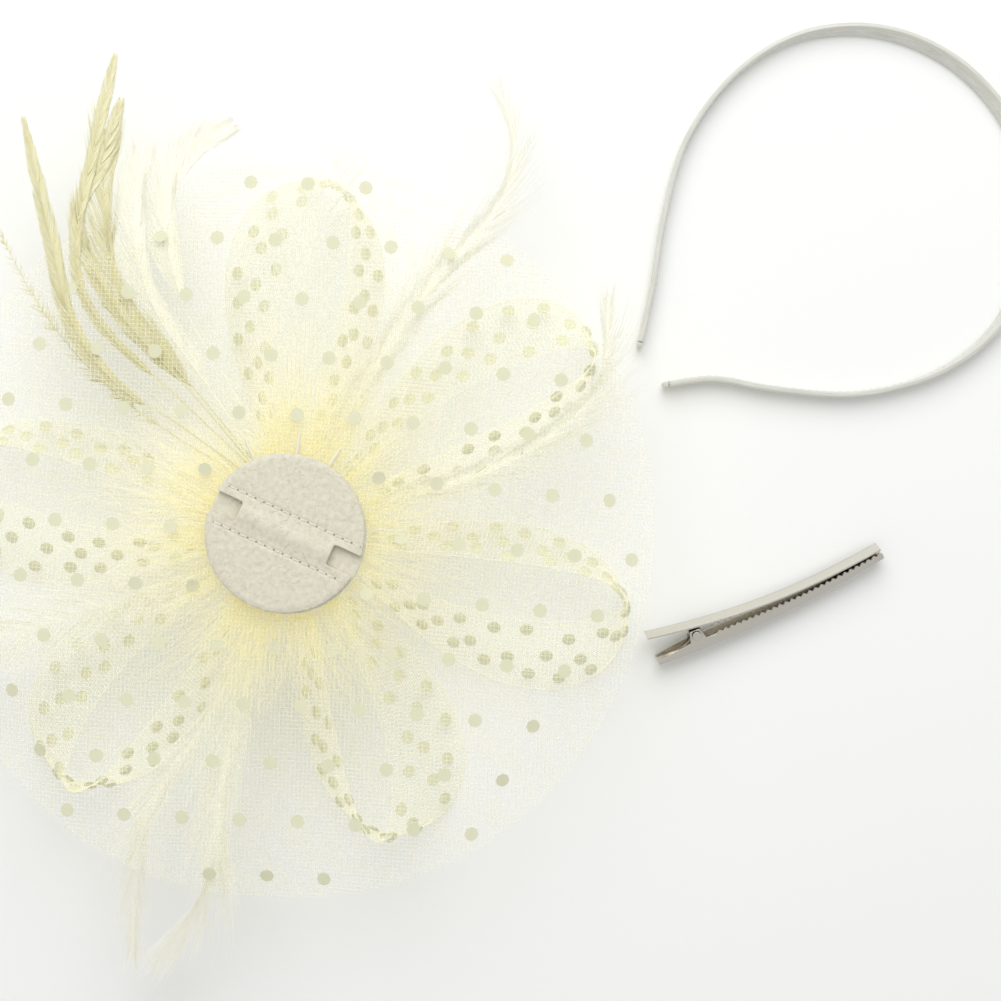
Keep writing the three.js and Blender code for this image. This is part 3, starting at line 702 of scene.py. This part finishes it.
# %% [markdown]
# ## The marabou plumes
# Six soft plumes lie between the loops. Their barbs are longer than the plume is wide and trail towards
# its tip, so that a plume ends in a wisp.

# %% Plumes
def plume_spec(width, fullest, **changes):
    spec = dict(pitch=0.24 * MM, start=0.06, locks=30, fullest=fullest, fullness=0.6, open=21, close=5,
                spread=3.5, scatter=2.6, half_width=width / 2 * MM, ragged=0.6, points=10, curl=0.13,
                cup=0.05, loft=0.8 * MM, half_barb=0.07 * MM, half_quill=0.24 * MM)
    spec.update(changes)
    return spec


PLUMES = [
    ([(6, 14), (24, 46), (43, 74), (61, 95), (67, 114), (62, 134)], plume_spec(15, 0.35)),
    ([(14, 7), (46, 14), (74, 26), (92, 44), (95, 70)], plume_spec(15, 0.45)),
    ([(-3, -15), (-12, -44), (-20, -74), (-23, -104), (-40, -130)], plume_spec(17, 0.45)),
    ([(-6, -14), (-22, -52), (-40, -78), (-46, -104), (-47, -128)], plume_spec(12, 0.5)),
    ([(0, 16), (0, 46), (6, 80), (14, 112)],
     plume_spec(36, 0.5, pitch=0.5 * MM, open=34, close=18, half_quill=0.14 * MM)),
    ([(-14, -6), (-44, -18), (-74, -28), (-98, -36)],
     plume_spec(28, 0.5, open=32, close=17, half_quill=0.16 * MM)),
]
for number, (controls, spec) in enumerate(PLUMES, 1):
    make_feather(f"marabou_plume_{number}", controls, spec, MARABOU, 200 + number, "marabou")

# %% [markdown]
# ## The fringe
# A ring of short down is tied in under the pad, and its barbs lie out in every direction. Close to the
# pad they overlap until little of the white table shows through, and the middle turns butter yellow.

# %% Fringe
FRINGE_STRANDS = 3200
FRINGE_LOCKS = 150
FRINGE_HALF_BARB = 0.085 * MM


def make_fringe():
    rng = np.random.default_rng(7)
    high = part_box("feather_fringe")[1]
    steps = np.linspace(0, 1, 8)
    lock = rng.integers(0, FRINGE_LOCKS, FRINGE_STRANDS)
    lock_angle = rng.uniform(0, 2 * math.pi, FRINGE_LOCKS)
    lock_reach = rng.uniform(0.55, 1.40, FRINGE_LOCKS)
    angle = lock_angle[lock] + rng.normal(0, 0.075, FRINGE_STRANDS)
    start = rng.uniform(11, 20, FRINGE_STRANDS) * MM
    reach = (high.x - start) * lock_reach[lock] * rng.uniform(0.55, 1.12, FRINGE_STRANDS)
    bend = rng.normal(0, 0.16, FRINGE_STRANDS)
    radius = start[:, None] + reach[:, None] * steps
    turned = angle[:, None] + bend[:, None] * steps ** 2
    depth = rng.uniform(0.5, 9.0, FRINGE_STRANDS) * MM
    z = high.z - 0.6 * MM - depth[:, None] * steps ** 0.7
    points = np.stack([radius * np.cos(turned), radius * np.sin(turned), z], -1)
    thick = FRINGE_HALF_BARB * (1 - 0.75 * steps) * rng.uniform(0.6, 1.1, (FRINGE_STRANDS, 1))
    tone = np.clip(steps * 0.9 + rng.normal(0, 0.12, (FRINGE_STRANDS, 1)), 0, 1)
    piece = strands("down_fringe", list(points), list(thick), FRINGE, list(tone))
    settle(piece, "flower", "marabou", "feather_fringe")


make_fringe()

# %% [markdown]
# ## The felt pad
# Two discs of needled wool felt are stitched together. The outer one has a notch at each end of a
# tunnel, and the tunnel between the two stitched rows stands up a little, because a clip or a headband
# is pushed through it. The outline is cut, remeshed finely and softened, and then the surface is lifted
# over the tunnel and pulled down along the stitches.

# %% Felt sizes
TUNNEL_TURN = math.radians(-25)
TUNNEL_HALF = 4.8 * MM
ROW_OFFSET = 5.7 * MM
NOTCH_HALF = 3.2 * MM
NOTCH_DEPTH = 8.6 * MM
STITCH_PITCH = 2.8 * MM
ROW_HALF = math.sqrt(PAD_RADIUS ** 2 - ROW_OFFSET ** 2) - 2.2 * MM
TUNNEL_RISE = 0.9 * MM
STITCH_DIP = 0.30 * MM
EDGE_ROUNDING = 0.35 * MM
FELT_GRAIN = 0.40 * MM               # between the points of the felt's fine mesh
BASE_SHIFT = 0.6 * MM                # how far the two discs are out of line


def felt_lift(x, y):
    """How far the outer felt's face stands above flat: up over the tunnel, down along the stitches."""
    inside = np.abs(x) < PAD_RADIUS - NOTCH_DEPTH + 3 * MM
    arch = TUNNEL_RISE * np.cos(np.clip(y / TUNNEL_HALF, -1, 1) * math.pi / 2) ** 2 * inside
    dips = STITCH_DIP * np.exp(-((np.abs(y) - ROW_OFFSET) / (0.55 * MM)) ** 2) * (np.abs(x) < ROW_HALF)
    edge = EDGE_ROUNDING * soft_step(PAD_RADIUS - 1.6 * MM, PAD_RADIUS, np.hypot(x, y))
    return arch - dips - edge


def pad_to_row(points):
    """Turns points from the tunnel's frame, x along it, into the object's frame."""
    c, s = math.cos(TUNNEL_TURN), math.sin(TUNNEL_TURN)
    x, y, z = np.asarray(points).T
    return np.stack([x * c - y * s, x * s + y * c, z], -1)


def felt_outline(notched, shift):
    """The cut outline of a disc, with the tunnel's two notches where it has them."""
    gap = math.asin(NOTCH_HALF / PAD_RADIUS) if notched else 0
    outline = []
    for side in (1, -1):
        for angle in np.linspace(gap, math.pi - gap, 60, endpoint=notched):
            turned = angle if side == 1 else angle + math.pi
            outline.append((PAD_RADIUS * math.cos(turned) + shift, PAD_RADIUS * math.sin(turned)))
        if notched:
            inner = PAD_RADIUS - NOTCH_DEPTH
            outline += [(-side * inner, side * NOTCH_HALF), (-side * inner, -side * NOTCH_HALF)]
    return outline


def felt_disc(name, node, notched, shift, finish):
    low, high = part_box(node)
    shape = bmesh.new()
    ring = [shape.verts.new((x, y, low.z)) for x, y in felt_outline(notched, shift)]
    face = shape.faces.new(ring)
    lifted = bmesh.ops.extrude_face_region(shape, geom=[face])["geom"]
    for vertex in (item for item in lifted if isinstance(item, bmesh.types.BMVert)):
        vertex.co.z = high.z
    bmesh.ops.recalc_face_normals(shape, faces=shape.faces)
    mesh = bpy.data.meshes.new(name)
    shape.to_mesh(mesh)
    shape.free()
    source = bpy.data.objects.new(name + "_cut", mesh)
    bpy.context.scene.collection.objects.link(source)
    fine = source.modifiers.new("fine", "REMESH")
    fine.mode = "VOXEL"
    fine.voxel_size = FELT_GRAIN
    soft = source.modifiers.new("soft", "SMOOTH")
    soft.factor = 0.5
    soft.iterations = 3
    graph = bpy.context.evaluated_depsgraph_get()
    felt = bpy.data.meshes.new_from_object(source.evaluated_get(graph), depsgraph=graph)
    bpy.data.objects.remove(source)
    co = np.zeros(len(felt.vertices) * 3)
    felt.vertices.foreach_get("co", co)
    co = co.reshape(-1, 3)
    lumps = np.array([noise.noise(Vector(p) / (1.1 * MM)) + 0.6 * noise.noise(Vector(p) / (4 * MM))
                      for p in co])
    up = (co[:, 2] - low.z) / (high.z - low.z)
    if notched:
        co[:, 2] += felt_lift(co[:, 0], co[:, 1])
    co[:, 2] += 0.07 * MM * lumps * up
    spread = 1 + 0.10 * MM * lumps / PAD_RADIUS
    co[:, 0] *= spread
    co[:, 1] *= spread
    felt.vertices.foreach_set("co", pad_to_row(co).ravel())
    felt.materials.clear()
    felt.materials.append(finish)
    felt.polygons.foreach_set("use_smooth", np.ones(len(felt.polygons), bool))
    piece = bpy.data.objects.new(name, felt)
    bpy.context.scene.collection.objects.link(piece)
    print(name, "faces", len(felt.polygons))
    settle(piece, "flower", "wool_felt", node)


def felt_finish():
    """Needled wool felt: fibres in every direction, so it is dead matt and slightly mottled."""
    material, tree, shader = new_finish("needled wool felt", "#E5E2D2", 1.0, Sheen_Weight=0.15,
                                        Specular_IOR_Level=0.05)
    mottle = place_noise(tree, 1.6 * MM, detail=6.0, roughness=0.7)
    two_tone(tree, shader, mottle.outputs["Fac"], "#D6D1BC", "#E4E0CE", 0.36, 0.62)
    fibres = place_noise(tree, 0.35 * MM, detail=5.0, roughness=0.75)
    bump(tree, shader, fibres.outputs["Fac"], 0.08 * MM, 0.7)
    return material


FELT = felt_finish()
felt_disc("felt_strap", "felt_strap_disc", True, 0.0, FELT)
felt_disc("felt_base", "felt_base_disc", False, BASE_SHIFT, FELT)

# %% [markdown]
# ## Felt fuzz and stitches
# Loose fibres stand off the felt's face and its cut edge. The stitches are two-ply thread: each one
# comes up through a needle hole, lies on the felt and goes down the next.

# %% Fuzz and stitches
STITCH = strand_finish("felt-coloured sewing thread", "#ECE9DA", "#F5F3E8", 0.5, Sheen_Weight=0.2)
FUZZ = strand_finish("loose felt fibre", "#E2DECB", "#F1EFE4", 0.9)
FUZZ_FIBRES = 1500
FUZZ_HALF = 0.028 * MM
STITCH_HALF = 0.10 * MM
PLY_OFFSET = 0.11 * MM               # of each ply's middle from the middle of the thread
HOLE_RADIUS = 0.20 * MM
HOLE_HALF = 0.14 * MM


def make_fuzz():
    rng = np.random.default_rng(11)
    count = FUZZ_FIBRES
    on_rim = rng.random(count) < 0.35
    radius = np.where(on_rim, PAD_RADIUS - 0.2 * MM, PAD_RADIUS * np.sqrt(rng.random(count)))
    angle = rng.uniform(0, 2 * math.pi, count)
    x, y = radius * np.cos(angle), radius * np.sin(angle)
    open_notch = (np.abs(y) < NOTCH_HALF + 0.3 * MM) & (np.abs(x) > PAD_RADIUS - NOTCH_DEPTH - 0.3 * MM)
    x, y, on_rim, angle = (values[~open_notch] for values in (x, y, on_rim, angle))
    count = len(x)
    heading = np.where(on_rim, angle + rng.normal(0, 0.9, count), rng.uniform(0, 2 * math.pi, count))
    steps = np.linspace(0, 1, 5)
    length = rng.uniform(0.6, 1.9, count) * MM * np.where(on_rim, 0.55, 1.0)
    turn = heading[:, None] + rng.normal(0, 1.1, (count, 1)) * steps
    along = length[:, None] / 4
    px = x[:, None] + np.cumsum(np.cos(turn) * along, 1)
    py = y[:, None] + np.cumsum(np.sin(turn) * along, 1)
    rise = np.where(on_rim, -rng.uniform(0.2, 1.4, count) * MM, 0.02 * MM)
    pz = PAD_HIGH.z + felt_lift(px, py) + rise[:, None] + 0.12 * MM * np.sin(math.pi * steps)
    points = pad_to_row(np.stack([px, py, pz], -1).reshape(-1, 3)).reshape(count, 5, 3)
    tone = [np.full(5, value) for value in rng.random(count)]
    settle(strands("felt_fuzz", list(points), FUZZ_HALF, FUZZ, tone), "flower", "wool_felt")


def make_stitches(name, node, side):
    stitches = round(2 * ROW_HALF / STITCH_PITCH)
    steps = np.linspace(0, 1, 9)
    routes = []
    for i in range(stitches):
        for ply in (0, math.pi):
            x = -ROW_HALF + (i + 0.08 + 0.84 * steps) * STITCH_PITCH
            twist = ply + 2.2 * math.pi * steps
            y = side * ROW_OFFSET + PLY_OFFSET * np.cos(twist)
            lie = PAD_HIGH.z - 0.62 * MM + 0.50 * MM * np.sin(math.pi * steps) ** 0.35
            z = lie + PLY_OFFSET * np.sin(twist)
            routes.append(pad_to_row(np.stack([x, np.full_like(x, 1) * y, z], -1)))
    settle(strands(name, routes, STITCH_HALF, STITCH, sides=6), "flower", "polyester_thread", node)


# Painted shade: the needle holes are not cut, and this dark finish on rings in the felt stands in for their
# shadow.
HOLE_SHADE = new_finish("needle hole shadow", "#A8A28C", 1.0, Specular_IOR_Level=0.0)[0]


def make_needle_hole_shade():
    """Painted shade of the needle holes: small dark rings laid in the felt's face and not cut into it."""
    count = round(2 * ROW_HALF / STITCH_PITCH) + 1
    routes = []
    for side in (-1, 1):
        for i in range(count):
            centre = (-ROW_HALF + i * STITCH_PITCH, side * ROW_OFFSET)
            ring = np.linspace(0, 2 * math.pi, 9)
            x = centre[0] + HOLE_RADIUS * np.cos(ring)
            y = centre[1] + HOLE_RADIUS * np.sin(ring)
            z = np.full_like(x, PAD_HIGH.z - 0.26 * MM)
            routes.append(pad_to_row(np.stack([x, y, z], -1)))
    settle(strands("needle_holes", routes, HOLE_HALF, HOLE_SHADE, sides=5), "flower", "wool_felt")


make_fuzz()
make_stitches("stitches_upper", "stitch_row_upper", 1)
make_stitches("stitches_lower", "stitch_row_lower", -1)
make_needle_hole_shade()

# %% [markdown]
# ## Under the pad
# Set glue squeezes out unevenly between pad and flower, and three cut quills end at the pad's rim. The
# flower's middle is whipped with thread, and a small gathered rosette of net hides it on the front.

# %% Glue, quills, whipping and rosette
GLUE_PROFILE = ((0.2, 0.0), (0.93, 0.0), (0.99, 0.25), (1.0, 0.5), (0.99, 0.75), (0.93, 1.0), (0.2, 1.0))
QUILL_TAPER = (0.55, 0.58, 0.60, 0.60, 0.57, 0.50, 0.36)    # half thicknesses in mm, root to cut end
WHIPPING_HALF = 0.34 * MM
ROSETTE_WIDTH = 10 * MM
ROSETTE_TURNS = 4.0


def shell_piece(name, grid, finish, closed=True):
    """A skin over a grid of points, rows by columns, whose columns close on themselves."""
    rows, columns = grid.shape[:2]
    faces = [(r * columns + c, r * columns + (c + 1) % columns,
              (r + 1) * columns + (c + 1) % columns, (r + 1) * columns + c)
             for r in range(rows - 1) for c in range(columns)]
    if closed:
        faces.append(tuple(range(columns))[::-1])
        faces.append(tuple((rows - 1) * columns + c for c in range(columns)))
    mesh = bpy.data.meshes.new(name)
    mesh.from_pydata([tuple(p) for p in grid.reshape(-1, 3)], [], faces)
    mesh.polygons.foreach_set("use_smooth", np.ones(len(faces), bool))
    mesh.materials.append(finish)
    shape = bmesh.new()
    shape.from_mesh(mesh)
    bmesh.ops.recalc_face_normals(shape, faces=shape.faces)
    shape.to_mesh(mesh)
    shape.free()
    piece = bpy.data.objects.new(name, mesh)
    bpy.context.scene.collection.objects.link(piece)
    return piece


def make_glue():
    """Hot-melt glue: cloudy, slightly yellow and softly glossy."""
    finish = new_finish("set hot glue", "#EFE9CF", 0.3, Subsurface_Weight=0.2, Coat_Weight=0.2)[0]
    low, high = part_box("hot_glue_bed")
    around = np.linspace(0, 2 * math.pi, 96, endpoint=False)
    edge = high.x * (0.97 + 0.035 * np.sin(5 * around + 1) + 0.02 * np.sin(11 * around))
    rows = []
    for share, height in GLUE_PROFILE:
        z = np.full_like(around, low.z + (high.z - low.z) * height)
        rows.append(np.stack([edge * share * np.cos(around), edge * share * np.sin(around), z], -1))
    settle(shell_piece("glue_bed", np.array(rows), finish), "flower", "hot_glue", "hot_glue_bed")


def make_quill_butts():
    for i in range(1, 4):
        low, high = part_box(f"quill_butt_{i}")
        middle = (low + high) / 2
        heading = Vector((middle.x, middle.y, 0)).normalized()
        half = (Vector((high.x, high.y)) - Vector((low.x, low.y))).length / 2
        run = np.linspace(-half, half, 7)[:, None]
        route = np.array(middle) + run * np.array(heading)
        thick = np.array(QUILL_TAPER) * MM
        butt = strands(f"quill_{i}", [route], [thick], QUILL, sides=12)
        settle(butt, "flower", "quill_horn", f"quill_butt_{i}")


def make_whipping():
    low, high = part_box("thread_binding")
    half = WHIPPING_HALF
    turns = int((high.z - low.z) / (2 * half)) - 1
    angle = np.linspace(0, 2 * math.pi * turns, 22 * turns)
    z = np.linspace(low.z + 2 * half, high.z - 2 * half, len(angle))
    radius = high.x - half
    route = np.stack([radius * np.cos(angle), radius * np.sin(angle), z], -1)
    whipping = strands("whipping", [route], half, THREAD, sides=6)
    settle(whipping, "flower", "polyester_thread", "thread_binding")


def rosette_point(u, v):
    """A point of the gathered strip: u runs along its spiral and v from its front edge inwards."""
    angle = 2 * math.pi * ROSETTE_TURNS * u
    radius = (5.5 + 7.0 * u + 0.55 * np.sin(11 * angle)) * MM - 7.2 * MM * v * (0.35 + 0.65 * u)
    return np.stack([radius * np.cos(angle), radius * np.sin(angle), TABLE_Z + (0.5 + 5.2 * v) * MM], -1)


def make_rosette():
    u = np.linspace(0, 1, 1200)
    middle = rosette_point(u, np.full_like(u, 0.5))
    length = np.linalg.norm(np.diff(middle, axis=0), axis=1).sum()
    rows = int(ROSETTE_WIDTH / NET_PITCH)
    run = np.linspace(0, 1, int(length / (0.8 * NET_PITCH)))
    routes = [rosette_point(run, np.full_like(run, j / rows)) for j in range(rows + 1)]
    across = np.linspace(0, 1, 4)
    routes += [rosette_point(np.full_like(across, place), across)
               for place in np.linspace(0, 1, int(length / NET_PITCH))]
    piece = strands("front_rosette", routes, NET_HALF_THREAD * 1.2, NET)
    settle(piece, "flower", "dotted_net", "front_centre_knot")


make_glue()
make_quill_butts()
make_whipping()
make_rosette()

# %% [markdown]
# ## The headband
# A flat spring steel strip in a tight satin tube. It stands on its edge, so from above it is a thin
# line, and it leans out where the ring is widest. The satin is sewn shut along the inner face, and its
# ends are folded over the steel. The curve comes from the steel strip in the CAD model.

# %% Headband
BAND_TURN = 48                       # points round the satin's section
SATIN_HALF_HEIGHT = 2.62 * MM
SATIN_HALF_THICKNESS = 0.95 * MM
SATIN_GIRTH = 0.013
STEEL_HALF_HEIGHT = 2.0 * MM
STEEL_HALF_THICKNESS = 0.26 * MM
SEAM_PITCH = 2.4 * MM
SEAM_HALF = 0.10 * MM
END_LENGTH = 2.1 * MM


def band_frame():
    """Foot and top edge of the steel strip along its length, from the corners of its CAD mesh."""
    mesh = bpy.data.objects["headband_spring_core"].data
    co = np.unique(np.round([tuple(v.co) for v in mesh.vertices], 6), axis=0)
    edges = []
    for level in (co[:, 2].min(), co[:, 2].max()):
        left = list(co[np.abs(co[:, 2] - level) < 0.1 * MM])
        pairs = []
        while left:
            first = left.pop()
            gaps = [np.linalg.norm(first - other) for other in left]
            nearest = int(np.argmin(gaps))
            pairs.append((first + left.pop(nearest)) / 2)
        edges.append(np.array(pairs))
    foot, top = edges
    order = [int(np.argmax(-foot[:, 0]))]
    while len(order) < len(foot):
        gaps = np.linalg.norm(foot - foot[order[-1]], axis=1)
        gaps[order] = 1.0
        order.append(int(np.argmin(gaps)))
    foot = foot[order]
    top = np.array([top[np.argmin(np.linalg.norm(top - p, axis=1))] for p in foot])
    return smooth_route(foot, 700)[0], smooth_route(top, 700)[0]


def band_section(count, half_height, half_thickness, power):
    """A rounded rectangle as a superellipse: heights and offsets round the section."""
    angle = np.linspace(0, 2 * math.pi, count, endpoint=False)
    c, s = np.cos(angle), np.sin(angle)
    return (np.sign(c) * np.abs(c) ** power * half_height, np.sign(s) * np.abs(s) ** power * half_thickness)


def band_grid(foot, top, half_height, half_thickness, power=0.4, swell=None):
    """Points round the section at every station of the band."""
    middle = (foot + top) / 2
    upright = top - foot
    upright /= np.linalg.norm(upright, axis=1, keepdims=True)
    ahead = np.gradient(middle, axis=0)
    ahead /= np.linalg.norm(ahead, axis=1, keepdims=True)
    across = np.cross(upright, ahead)
    height, offset = band_section(BAND_TURN, half_height, half_thickness, power)
    scale = np.ones(len(foot)) if swell is None else swell
    return (middle[:, None] + upright[:, None] * (height[None, :, None] * scale[:, None, None])
            + across[:, None] * (offset[None, :, None] * scale[:, None, None]))


def satin_finish():
    """Polyester satin: long floats lie along the ribbon, so it shines across them."""
    material, tree, shader = new_finish("polyester satin", "#D4D4CC", 0.34, Sheen_Weight=0.25,
                                        Specular_IOR_Level=0.6, Anisotropic=0.5)
    where = add_node(tree, "ShaderNodeUVMap", uv_map="ribbon")
    stretched = add_node(tree, "ShaderNodeMapping", {
        "Vector": where.outputs["UV"], "Scale": (120, 3500, 1)})
    floats = add_node(tree, "ShaderNodeTexNoise", {
        "Vector": stretched.outputs["Vector"], "Scale": 1.0, "Detail": 3.0})
    two_tone(tree, shader, floats.outputs["Fac"], "#C6C6BC", "#DEDED6", 0.3, 0.7)
    bump(tree, shader, floats.outputs["Fac"], 0.04 * MM, 0.6)
    return material


def ribbon_map(piece, rows, columns, length, girth):
    """A UV map in metres: along the ribbon and round it."""
    layer = piece.data.uv_layers.new(name="ribbon")
    for polygon in piece.data.polygons:
        corners = [(index // columns, index % columns) for index in polygon.vertices]
        columns_met = [column for _, column in corners]
        wraps = max(columns_met) - min(columns_met) > 1
        for loop, (row, column) in zip(polygon.loop_indices, corners):
            turn = column + (columns if wraps and column < columns / 2 else 0)
            layer.data[loop].uv = (row / rows * length, turn / columns * girth)


SATIN = satin_finish()
STEEL = new_finish("blued spring steel", "#8F9296", 0.35, Metallic=1.0)[0]
SEAM = new_finish("satin seam thread", "#D9D9D2", 0.5, Sheen_Weight=0.2)[0]


def make_headband():
    foot, top = band_frame()
    run = np.linspace(0, 1, len(foot))
    pucker = 1 + 0.012 * np.sin(run * 2 * math.pi * 61) * np.sin(run * 2 * math.pi * 23)
    grid = band_grid(foot, top, SATIN_HALF_HEIGHT, SATIN_HALF_THICKNESS, swell=pucker)
    wrap = shell_piece("satin_wrap", grid, SATIN)
    length = np.linalg.norm(np.diff((foot + top) / 2, axis=0), axis=1).sum()
    ribbon_map(wrap, len(foot), BAND_TURN, length, SATIN_GIRTH)
    settle(wrap, "headband", "satin", "headband_satin_wrap")
    inner = band_grid(foot[3:-3], top[3:-3], STEEL_HALF_HEIGHT, STEEL_HALF_THICKNESS, 0.2)
    core = shell_piece("spring_strip", inner, STEEL)
    settle(core, "headband", "spring_steel", "headband_spring_core")
    print("satin tube", round(length / MM), "mm long")
    make_band_ends(foot, top)
    make_band_seam(foot, top)


def make_band_ends(foot, top):
    """The satin's folded ends: short rounded caps past each end of the tube."""
    for number, (here, before) in enumerate(((0, 4), (-1, -5)), 1):
        ahead = (foot[here] - foot[before]) / np.linalg.norm(foot[here] - foot[before])
        steps = np.linspace(0, 1, 9)
        reach = 0.3 * MM + END_LENGTH * steps
        ends = [line[here] + ahead * reach[:, None] for line in (foot, top)]
        swell = np.sqrt(np.maximum(1 - (steps * 0.97) ** 3, 0.01))
        grid = band_grid(*ends, SATIN_HALF_HEIGHT, SATIN_HALF_THICKNESS, swell=swell)
        cap = shell_piece(f"satin_end_{number}", grid, SATIN)
        ribbon_map(cap, 9, BAND_TURN, END_LENGTH, SATIN_GIRTH)
        settle(cap, "headband", "satin", f"headband_end_{number}")


def make_band_seam(foot, top):
    """Small slanted stitches that close the satin along its inner face."""
    middle = (foot + top) / 2
    centre = middle.mean(0)
    walked = np.concatenate([[0], np.cumsum(np.linalg.norm(np.diff(middle, axis=0), axis=1))])
    places = np.arange(4 * MM, walked[-1] - 4 * MM, SEAM_PITCH)
    inward = centre - middle
    inward[:, 2] = 0
    ahead = np.gradient(middle, axis=0)
    ahead /= np.linalg.norm(ahead, axis=1, keepdims=True)
    upright = (top - foot) / np.linalg.norm(top - foot, axis=1, keepdims=True)
    side = np.cross(upright, ahead)
    side *= np.sign((side * inward).sum(1, keepdims=True))
    routes = []
    for place in places:
        i = np.searchsorted(walked, place)
        steps = np.linspace(-0.5, 0.5, 5)[:, None]
        bow = 0.06 * MM - 0.20 * MM * (2 * steps) ** 4
        routes.append(middle[i] + ahead[i] * steps * 1.5 * MM + upright[i] * steps * 0.5 * MM
                      + side[i] * (SATIN_HALF_THICKNESS + bow))
    settle(strands("satin_seam", routes, SEAM_HALF, SEAM, sides=6), "headband", "satin")


make_headband()

# %% [markdown]
# ## The clip
# An alligator clip of folded and punched sheet steel, nickel plated: a toothed jaw, a plain arm, a pin
# and a torsion spring. Punched and plated sheet has no knife edges, so the jaw, the arm and the pin are
# rounded here. The plate is finely scratched along its length. It is painted darker and browner inside the
# fold and in its creases, as painted shade from an ambient occlusion node.

# %% Clip
CLIP_HEADING = math.radians(-25.5)
PLATE_EDGE = 0.10 * MM
PIN_EDGE = 0.08 * MM


def plate_finish(name, bright, painted_shade, roughness):
    """Bright nickel on steel: a mirror softened by handling, with painted shade, darker and browner, in its
    creases.
    """
    material, tree, shader = new_finish(name, bright, roughness, Metallic=1.0)
    # Painted shade: an ambient occlusion node blends the metal from its bright colour to a dark brown one
    # in creases and folds.
    painted_crease_shade = add_node(tree, "ShaderNodeAmbientOcclusion", {"Distance": 3.0 * MM})
    two_tone(tree, shader, painted_crease_shade.outputs["AO"], painted_shade, bright, 0.25, 0.85)
    wear = place_noise(tree, 2.0 * MM, detail=5.0, roughness=0.6)
    softened = add_node(tree, "ShaderNodeMapRange", {
        "Value": wear.outputs["Fac"], "To Min": roughness * 0.6, "To Max": roughness * 1.6})
    tree.links.new(softened.outputs["Result"], shader.inputs["Roughness"])
    where = add_node(tree, "ShaderNodeTexCoord")
    drawn = add_node(tree, "ShaderNodeMapping", {
        "Vector": where.outputs["Object"], "Rotation": (0, 0, CLIP_HEADING), "Scale": (250, 4200, 4200)})
    lines = add_node(tree, "ShaderNodeTexNoise", {
        "Vector": drawn.outputs["Vector"], "Scale": 1.0, "Detail": 2.0})
    bump(tree, shader, lines.outputs["Fac"], 0.02 * MM, 0.35)
    return material


# The second colour of each plate is the painted shade in its creases.
NICKEL = plate_finish("nickel plate", "#DEDAD0", "#6F6757", 0.16)
SPRING_WIRE = plate_finish("spring steel wire", "#D2CEC4", "#8A8578", 0.25)


def rounded_copy(node, name, finish, body, slot, bevel, smooth_angle=40):
    """A CAD node's shape with its seams merged, its flat faces joined and its edges rounded."""
    source = bpy.data.objects[node]
    shape = bmesh.new()
    shape.from_mesh(source.data)
    bmesh.ops.remove_doubles(shape, verts=shape.verts, dist=0.002 * MM)
    bmesh.ops.dissolve_limit(shape, angle_limit=math.radians(1.0), verts=shape.verts, edges=shape.edges)
    mesh = bpy.data.meshes.new(name)
    shape.to_mesh(mesh)
    shape.free()
    piece = bpy.data.objects.new(name, mesh)
    bpy.context.scene.collection.objects.link(piece)
    if bevel:
        rounding = piece.modifiers.new("rounding", "BEVEL")
        rounding.width = bevel
        rounding.segments = 2
        rounding.limit_method = "ANGLE"
        rounding.angle_limit = math.radians(35)
    graph = bpy.context.evaluated_depsgraph_get()
    done = bpy.data.meshes.new_from_object(piece.evaluated_get(graph), depsgraph=graph)
    piece.modifiers.clear()
    piece.data = done
    done.materials.clear()
    done.materials.append(finish)
    done.polygons.foreach_set("use_smooth", np.ones(len(done.polygons), bool))
    done.set_sharp_from_angle(angle=math.radians(smooth_angle))
    print(name, "faces", len(done.polygons))
    settle(piece, body, slot, node)


rounded_copy("clip_lower_jaw", "toothed_jaw", NICKEL, "clip", "nickel_plate", PLATE_EDGE)
rounded_copy("clip_upper_arm", "plain_arm", NICKEL, "clip_arm", "nickel_plate", PLATE_EDGE)
rounded_copy("clip_pivot_pin", "pivot_pin", NICKEL, "clip", "nickel_plate", PIN_EDGE)
rounded_copy("clip_torsion_spring", "torsion_spring", SPRING_WIRE, "clip", "spring_steel", 0, 60)
